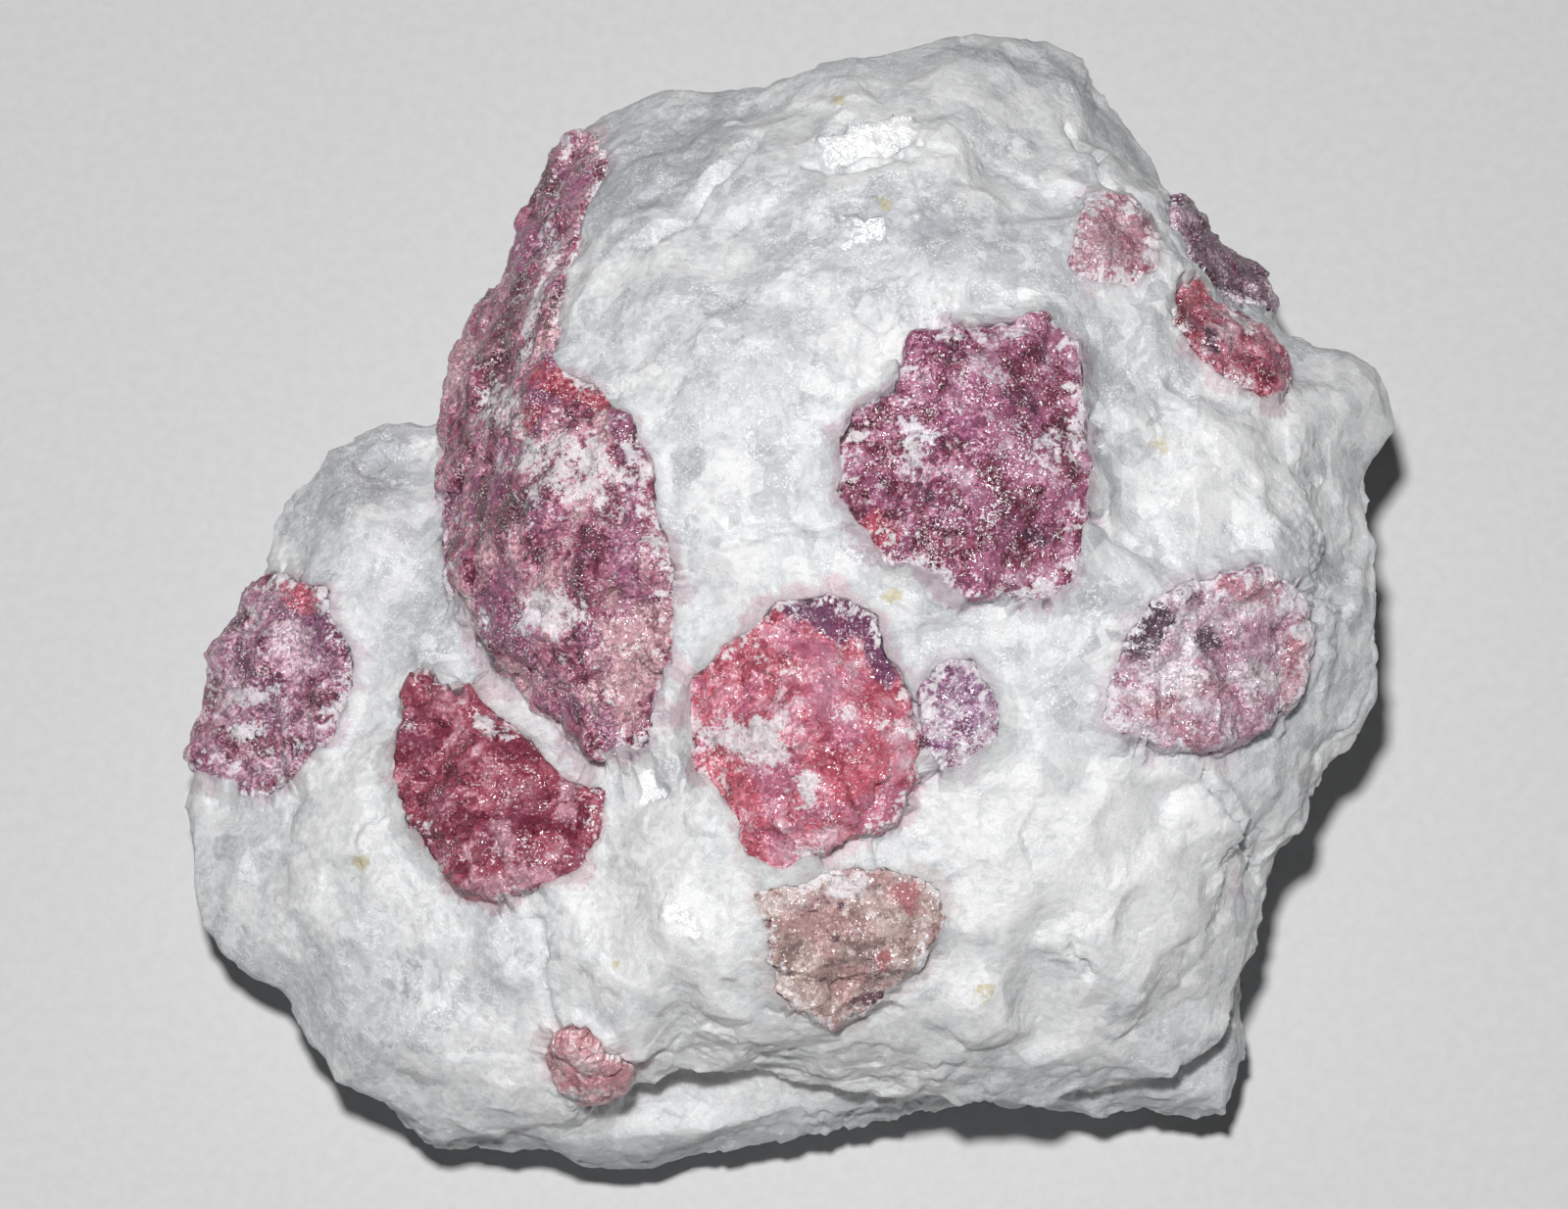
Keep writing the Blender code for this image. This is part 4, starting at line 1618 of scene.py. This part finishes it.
    def _stain(self, piece: bpy.types.Object, crystals: list[TourmalineCrystal]) -> None:
        """Stores every tint's strength at each point.

        Args:
            piece: The block.
            crystals: The crystals that it holds.
        """
        points, normals = read_points(piece)
        upper = np.clip(normals[:, 2] * 2.0 + 0.8, 0.0, 1.0)    # stains fade below the walls
        stained = {tint: stain_values(points, self.stains[tint]) * upper for tint in self.stains}
        for tint in (Tint.GLASS, Tint.MILK, Tint.OCHRE):
            write_tint(piece, tint, stained[tint])
        distances, _, owners = nearest_surface(
            points, [crystal.piece for crystal in crystals], self.halo[1])
        reach = wavering_reach(points, *self.halo, self.halo_width)
        near = 1.0 - distances / np.maximum(reach, LEAST_REACH)
        write_tint(piece, Tint.BLUSH, np.maximum(near, stained[Tint.BLUSH]))
        colours = np.array([*(crystal.finish.light for crystal in crystals), self.bleed])
        write_colours(piece, Tint.HALO, colours[owners])    # owner -1 is the last, the bleed
        write_polish(piece, self.faces)
        # painted shadow: the low parts under the rim are darkened; painted shade goes in the
        # hollows
        low = np.clip((self.painted_shadow_height - points[:, 2]) / self.painted_shadow_fade, 0.0, 1.0)
        deep = hollows(piece, rounds=14, depth=0.32)
        write_tint(piece, Tint.CREVICE, np.maximum(1.2 * low, 0.15 * deep))
        turns = np.array([self.lay.read(Vector(point))[0] for point in points])
        write_tint(piece, Tint.LAY, turns / math.pi % 1.0)


# ---------------------------------------------------------------------------------------------
# The crystals
# ---------------------------------------------------------------------------------------------


def crystal_list() -> list[TourmalineCrystal]:
    """The twelve crystals, from the left to the right.

    Returns:
        Their descriptions.
    """
    return [
        TourmalineCrystal(
            "left_rim",
            TourmalineFinish(
                dark=(0.13, 0.04, 0.07), body=(0.30, 0.10, 0.16), light=(0.54, 0.29, 0.38),
                flush=(0.33, 0.14, 0.25), rose=(0.58, 0.12, 0.17), powder=0.22,
            ),
            {
                Tint.ROSE: ((-32.3, -0.9, 1.9, 1.1, -35, 1.0),),
                Tint.PALE: ((-33.5, -3.4, 2.0, 1.0, -10, 0.8),),
                Tint.DUST: ((-35.6, -7.4, 2.0, 0.7, 0, 0.5), (-36.0, -9.6, 1.4, 0.6, 0, 0.5)),
            },
        ),
        TourmalineCrystal(
            "raspberry",
            TourmalineFinish(
                dark=(0.20, 0.03, 0.06), body=(0.34, 0.065, 0.105), light=(0.46, 0.13, 0.18),
                pale=(0.62, 0.33, 0.40), flush=(0.30, 0.08, 0.13), powder=-0.16, lift=-0.03,
                grit=0.16, painted_sparkle_density=0.07,
            ),
            {
                Tint.DUST: (
                    (-21.9, -10.6, 1.1, 0.5, -30, 0.6), (-19.9, -11.2, 1.0, 0.6, -50, 0.9),
                    (-17.2, -11.4, 1.0, 0.9, 0, 0.7), (-23.6, -11.0, 0.8, 0.5, 0, 0.6),
                ),
                Tint.PALE: (
                    (-18.4, -19.4, 0.8, 1.7, 20, 0.8), (-14.2, -16.8, 1.0, 2.4, 0, 0.6),
                    (-17.5, -21.9, 3.4, 0.8, 4, 0.8), (-12.4, -14.4, 1.2, 1.0, 0, 0.8),
                ),
            },
        ),
        TourmalineCrystal(
            "flank",
            TourmalineFinish(
                dark=(0.15, 0.04, 0.07), body=(0.33, 0.09, 0.15), light=(0.52, 0.24, 0.32),
                flush=(0.36, 0.13, 0.24), rose=(0.44, 0.08, 0.11), pale=(0.64, 0.40, 0.43),
                powder=0.17, deep=(0.13, 0.055, 0.065), stretch=(1.0, 0.5, 1.0),
            ),
            {
                Tint.DUST: (
                    (-13.0, 3.2, 3.4, 2.6, -35, 0.62), (-17.0, 5.2, 2.0, 1.2, -30, 0.5),
                    (-15.4, -5.6, 2.2, 1.5, -20, 0.75), (-18.8, 9.5, 1.2, 3.4, 20, 0.5),
                    (-16.6, 16.0, 0.7, 5.0, -15, 0.5), (-16.0, 24.0, 0.6, 3.0, -5, 0.5),
                ),
                Tint.ROSE: ((-13.2, 9.4, 3.6, 1.4, -20, 1.0), (-16.7, 7.6, 1.4, 0.9, 30, 0.8)),
                Tint.DEEP: (
                    (-17.6, 1.6, 1.8, 1.4, 0, 0.55), (-9.6, 4.0, 0.8, 3.4, 12, 0.5),
                    (-19.2, 15.0, 1.3, 6.0, -18, 0.6), (-14.9, 17.0, 0.8, 4.0, -12, 0.45),
                    (-16.4, 27.0, 1.2, 3.0, -5, 0.6), (-19.8, 2.0, 0.8, 5.0, 5, 0.5),
                ),
                Tint.PALE: ((-10.0, -8.6, 2.4, 3.8, -15, 0.9),),
            },
            triangles=60_000,
            streaks=Streaks((0.1, 1.0, 0.2), 1.1, 0.30),
        ),
        TourmalineCrystal(
            "salmon",
            TourmalineFinish(
                dark=(0.48, 0.20, 0.22), body=(0.62, 0.31, 0.34), light=(0.72, 0.45, 0.47),
                pale=(0.80, 0.62, 0.64), flush=(0.50, 0.21, 0.24), powder=0.05, grit=0.14,
                painted_sparkle_density=0.08,
            ),
            triangles=12_000,
            swell=0.85,
            rim=(0.0, 0.3),
        ),
        TourmalineCrystal(
            "watermelon",
            TourmalineFinish(
                dark=(0.42, 0.08, 0.12), body=(0.60, 0.15, 0.21), light=(0.70, 0.30, 0.38),
                pale=(0.80, 0.52, 0.60), flush=(0.56, 0.20, 0.31), deep=(0.15, 0.05, 0.12),
                powder=0.2, rose=(0.62, 0.13, 0.18), grit=0.18, painted_sparkle_density=0.09,
            ),
            {
                Tint.DUST: (
                    (-2.6, -14.6, 2.6, 1.4, -28, 0.7), (-1.4, -8.6, 2.0, 0.5, -10, 0.3),
                    (3.4, -12.8, 1.2, 0.8, 0, 0.4), (1.4, -17.6, 0.7, 0.9, 0, 0.7),
                ),
                Tint.DEEP: ((2.9, -6.4, 4.4, 1.5, -24, 1.0), (5.9, -9.0, 1.1, 2.4, 15, 1.0)),
                Tint.ROSE: (
                    (-3.6, -17.4, 1.6, 2.4, 25, 0.9), (4.4, -17.4, 2.2, 0.8, 25, 0.8),
                    (-5.2, -11.6, 0.8, 2.6, 0, 0.6),
                ),
            },
            triangles=42_000,
            rim=(0.0, 0.6),
        ),
        TourmalineCrystal(
            "brown",
            TourmalineFinish(
                dark=(0.32, 0.21, 0.20), body=(0.48, 0.35, 0.32), light=(0.60, 0.46, 0.43),
                pale=(0.74, 0.63, 0.61), flush=(0.54, 0.32, 0.32), deep=(0.15, 0.08, 0.10),
                rose=(0.50, 0.16, 0.18), powder=0.14, grit=0.14, painted_sparkle_density=0.08,
            ),
            {
                Tint.DEEP: (
                    (3.3, -24.6, 0.35, 0.3, 0, 0.9), (3.1, -26.5, 0.4, 0.3, 0, 0.9),
                    (4.8, -30.0, 1.6, 0.4, 14, 0.8), (0.2, -23.6, 1.6, 0.8, -8, 0.35),
                ),
                Tint.DUST: ((4.0, -23.6, 1.8, 0.8, 0, 0.6),),
                Tint.ROSE: (
                    (7.6, -24.0, 1.0, 1.8, 10, 0.7), (6.0, -28.0, 0.6, 1.2, -25, 0.6),
                    (5.6, -21.6, 2.0, 0.4, -8, 0.5),
                ),
            },
            triangles=24_000,
            rim=(0.0, 0.7),
        ),
        TourmalineCrystal(
            "violet",
            TourmalineFinish(
                dark=(0.18, 0.07, 0.14), body=(0.36, 0.18, 0.30), light=(0.58, 0.44, 0.54),
                pale=(0.76, 0.68, 0.74), flush=(0.30, 0.13, 0.26), powder=0.22,
            ),
            triangles=14_000,
            swell=0.6,
            rim=(0.0, 0.9),
        ),
        TourmalineCrystal(
            "purple",
            TourmalineFinish(
                dark=(0.14, 0.035, 0.06), body=(0.28, 0.07, 0.13), light=(0.46, 0.19, 0.29),
                pale=(0.68, 0.47, 0.58), flush=(0.40, 0.13, 0.25), rose=(0.44, 0.07, 0.11),
                powder=0.16, lift=-0.03,
            ),
            {
                Tint.DUST: (
                    (16.4, 3.6, 1.5, 1.6, 20, 0.5), (7.7, 3.3, 0.7, 0.9, 0, 0.6),
                    (12.9, 8.6, 1.8, 0.6, -15, 0.4), (12.8, -0.8, 0.8, 0.8, 0, 0.3),
                ),
                Tint.PALE: ((12.6, 5.4, 1.4, 0.9, 0, 0.35),),
                Tint.ROSE: ((5.8, -1.2, 1.4, 0.9, -40, 1.0),),
                Tint.DEEP: (
                    (9.8, 0.6, 1.7, 1.1, -20, 0.45), (15.2, 7.0, 1.6, 0.8, -20, 0.5),
                    (10.4, 10.6, 1.4, 0.6, 20, 0.5), (15.4, -2.0, 1.2, 0.7, 0, 0.45),
                ),
            },
            triangles=48_000,
            # a clean face that carries a painted glint
            faces=(CleavageFace(Spot(8.4, 4.8, 1.5, 0.6, -16), 38.1, GLINT_SLOPE),),
        ),
        TourmalineCrystal(
            "speckled",
            TourmalineFinish(
                dark=(0.36, 0.13, 0.18), body=(0.54, 0.28, 0.34), light=(0.70, 0.50, 0.56),
                pale=(0.80, 0.68, 0.73), flush=(0.50, 0.26, 0.32), powder=0.33,
            ),
            triangles=14_000,
            rim=(0.0, 1.1),
        ),
        TourmalineCrystal(
            "right_rim",
            TourmalineFinish(
                dark=(0.20, 0.035, 0.055), body=(0.38, 0.08, 0.12), light=(0.54, 0.22, 0.28),
                pale=(0.72, 0.48, 0.54), flush=(0.40, 0.12, 0.19), rose=(0.52, 0.12, 0.16),
                powder=0.02,
            ),
            {
                Tint.ROSE: ((26.6, 16.4, 0.9, 1.6, 0, 0.9),),
                Tint.DUST: ((30.0, 14.6, 1.8, 0.5, -48, 0.8),),
                Tint.DEEP: ((27.6, 13.0, 0.6, 1.4, 10, 0.5),),
            },
            triangles=16_000,
            rim=(0.0, 0.8),
        ),
        # the darkest crystal: a dark purple, darkened further by painted shade for the back slope
        # it lies on
        TourmalineCrystal(
            "back_slope",
            TourmalineFinish(
                dark=(0.09, 0.03, 0.055), body=(0.17, 0.065, 0.11), light=(0.32, 0.19, 0.25),
                flush=(0.22, 0.12, 0.17), powder=0.06,
            ),
            triangles=14_000,
        ),
        TourmalineCrystal(
            "pale",
            TourmalineFinish(
                dark=(0.36, 0.17, 0.23), body=(0.54, 0.32, 0.40), light=(0.64, 0.46, 0.54),
                pale=(0.76, 0.68, 0.72), flush=(0.48, 0.27, 0.38), deep=(0.10, 0.06, 0.09),
                rose=(0.52, 0.22, 0.27), powder=0.26,
            ),
            {
                Tint.DEEP: (
                    (23.0, -7.2, 1.9, 1.2, 35, 1.0), (26.8, -7.3, 0.8, 0.8, 0, 1.0),
                    (25.6, -5.0, 1.4, 0.6, 0, 0.5),
                ),
                Tint.PALE: ((24.6, -10.0, 2.4, 1.5, 0, 0.9), (30.2, -9.4, 2.0, 1.1, 10, 0.8)),
                Tint.ROSE: (
                    (32.6, -8.0, 0.8, 2.8, -12, 0.7), (29.4, -4.2, 2.4, 0.7, -12, 0.7),
                    (24.0, -12.6, 2.8, 0.8, -20, 0.5),
                ),
            },
            triangles=34_000,
            rim=(0.2, 1.6),
        ),
    ]


# ---------------------------------------------------------------------------------------------
# The studio
# ---------------------------------------------------------------------------------------------


@dataclass
class Studio:
    """Floor, light and camera. Lengths are in metres.

    Attributes:
        target: Point that the camera looks at.
        elevation: The camera's height above the horizon, in degrees.
        distance: The camera's distance from its target.
        lens: The camera's focal length, in millimetres.
        floor_side: Side of the floor.
        key_up: How far the key light is moved up from the camera.
        key_side: How far the key light is moved sideways from the camera.
        key_size: Diameter of the key light.
        key_power: Power of the key light, in watts.
        fill: Strength of the light from all round.
    """

    target: Vector = field(default_factory=lambda: Vector((-0.25, -2.0, 20.0)) * MM)
    elevation: float = 76.0
    distance: float = 0.3756
    lens: float = 130.0
    floor_side: float = 1.6
    key_up: float = 0.064
    key_side: float = -0.016
    key_size: float = 0.024
    key_power: float = 1.40
    fill: float = 0.012

    def build(self) -> None:
        """Sets up the floor, the lights and the camera."""
        self._floor()
        self._camera()
        self._lights()

    def _view_axes(self) -> tuple[Vector, Vector]:
        """Direction from the target to the camera, and the camera's up direction.

        Returns:
            The two directions.
        """
        rise = math.radians(self.elevation)
        back = Vector((0.0, -math.cos(rise), math.sin(rise)))
        up = Vector((0.0, math.sin(rise), math.cos(rise)))
        return back, up

    def _floor(self) -> None:
        """A plain sheet of paper, a hair under the foot."""
        bpy.ops.object.select_all(action="DESELECT")
        bpy.ops.mesh.primitive_plane_add(size=self.floor_side, location=(0.0, 0.0, -0.02 * MM))
        floor = bpy.context.active_object
        floor.name = "floor"
        bpy.ops.object.transform_apply(location=True, rotation=False, scale=False)
        floor.data.materials.append(PaperFinish().material())

    def _camera(self) -> None:
        """The camera, looking down at the block."""
        back, _ = self._view_axes()
        data = bpy.data.cameras.new("camera")
        data.lens = self.lens
        data.sensor_width = 36.0
        data.clip_start = 0.01
        camera = bpy.data.objects.new("camera", data)
        bpy.context.scene.collection.objects.link(camera)
        camera.location = self.target + back * self.distance
        camera.rotation_euler = (math.radians(90.0 - self.elevation), 0.0, 0.0)
        bpy.context.scene.camera = camera

    def _lights(self) -> None:
        """A soft key light over the camera, and an even fill."""
        back, up = self._view_axes()
        data = bpy.data.lights.new("key", "AREA")
        data.shape = "DISK"
        data.size = self.key_size
        data.energy = self.key_power
        key = bpy.data.objects.new("key", data)
        bpy.context.scene.collection.objects.link(key)
        key.location = self.target + back * self.distance + up * self.key_up
        key.location.x += self.key_side
        key.rotation_euler = (key.location - self.target).to_track_quat("Z", "Y").to_euler()
        world = bpy.data.worlds.new("soft_room")
        bpy.context.scene.world = world
        world.use_nodes = True
        background = world.node_tree.nodes["Background"]
        background.inputs["Color"].default_value = (1.0, 1.0, 1.0, 1.0)
        background.inputs["Strength"].default_value = self.fill
        bpy.context.scene.view_settings.view_transform = "Standard"


def main() -> None:
    """Builds the crystals, the block and the studio, in this order."""
    logging.basicConfig(level=logging.INFO, format="%(message)s")
    crystals = crystal_list()
    for crystal in crystals:
        crystal.build()
    block = FeldsparBlock().build(crystals)
    for crystal in crystals:
        crystal.whiten_rim(block)
    Studio().build()


if __name__ == "__main__":
    main()
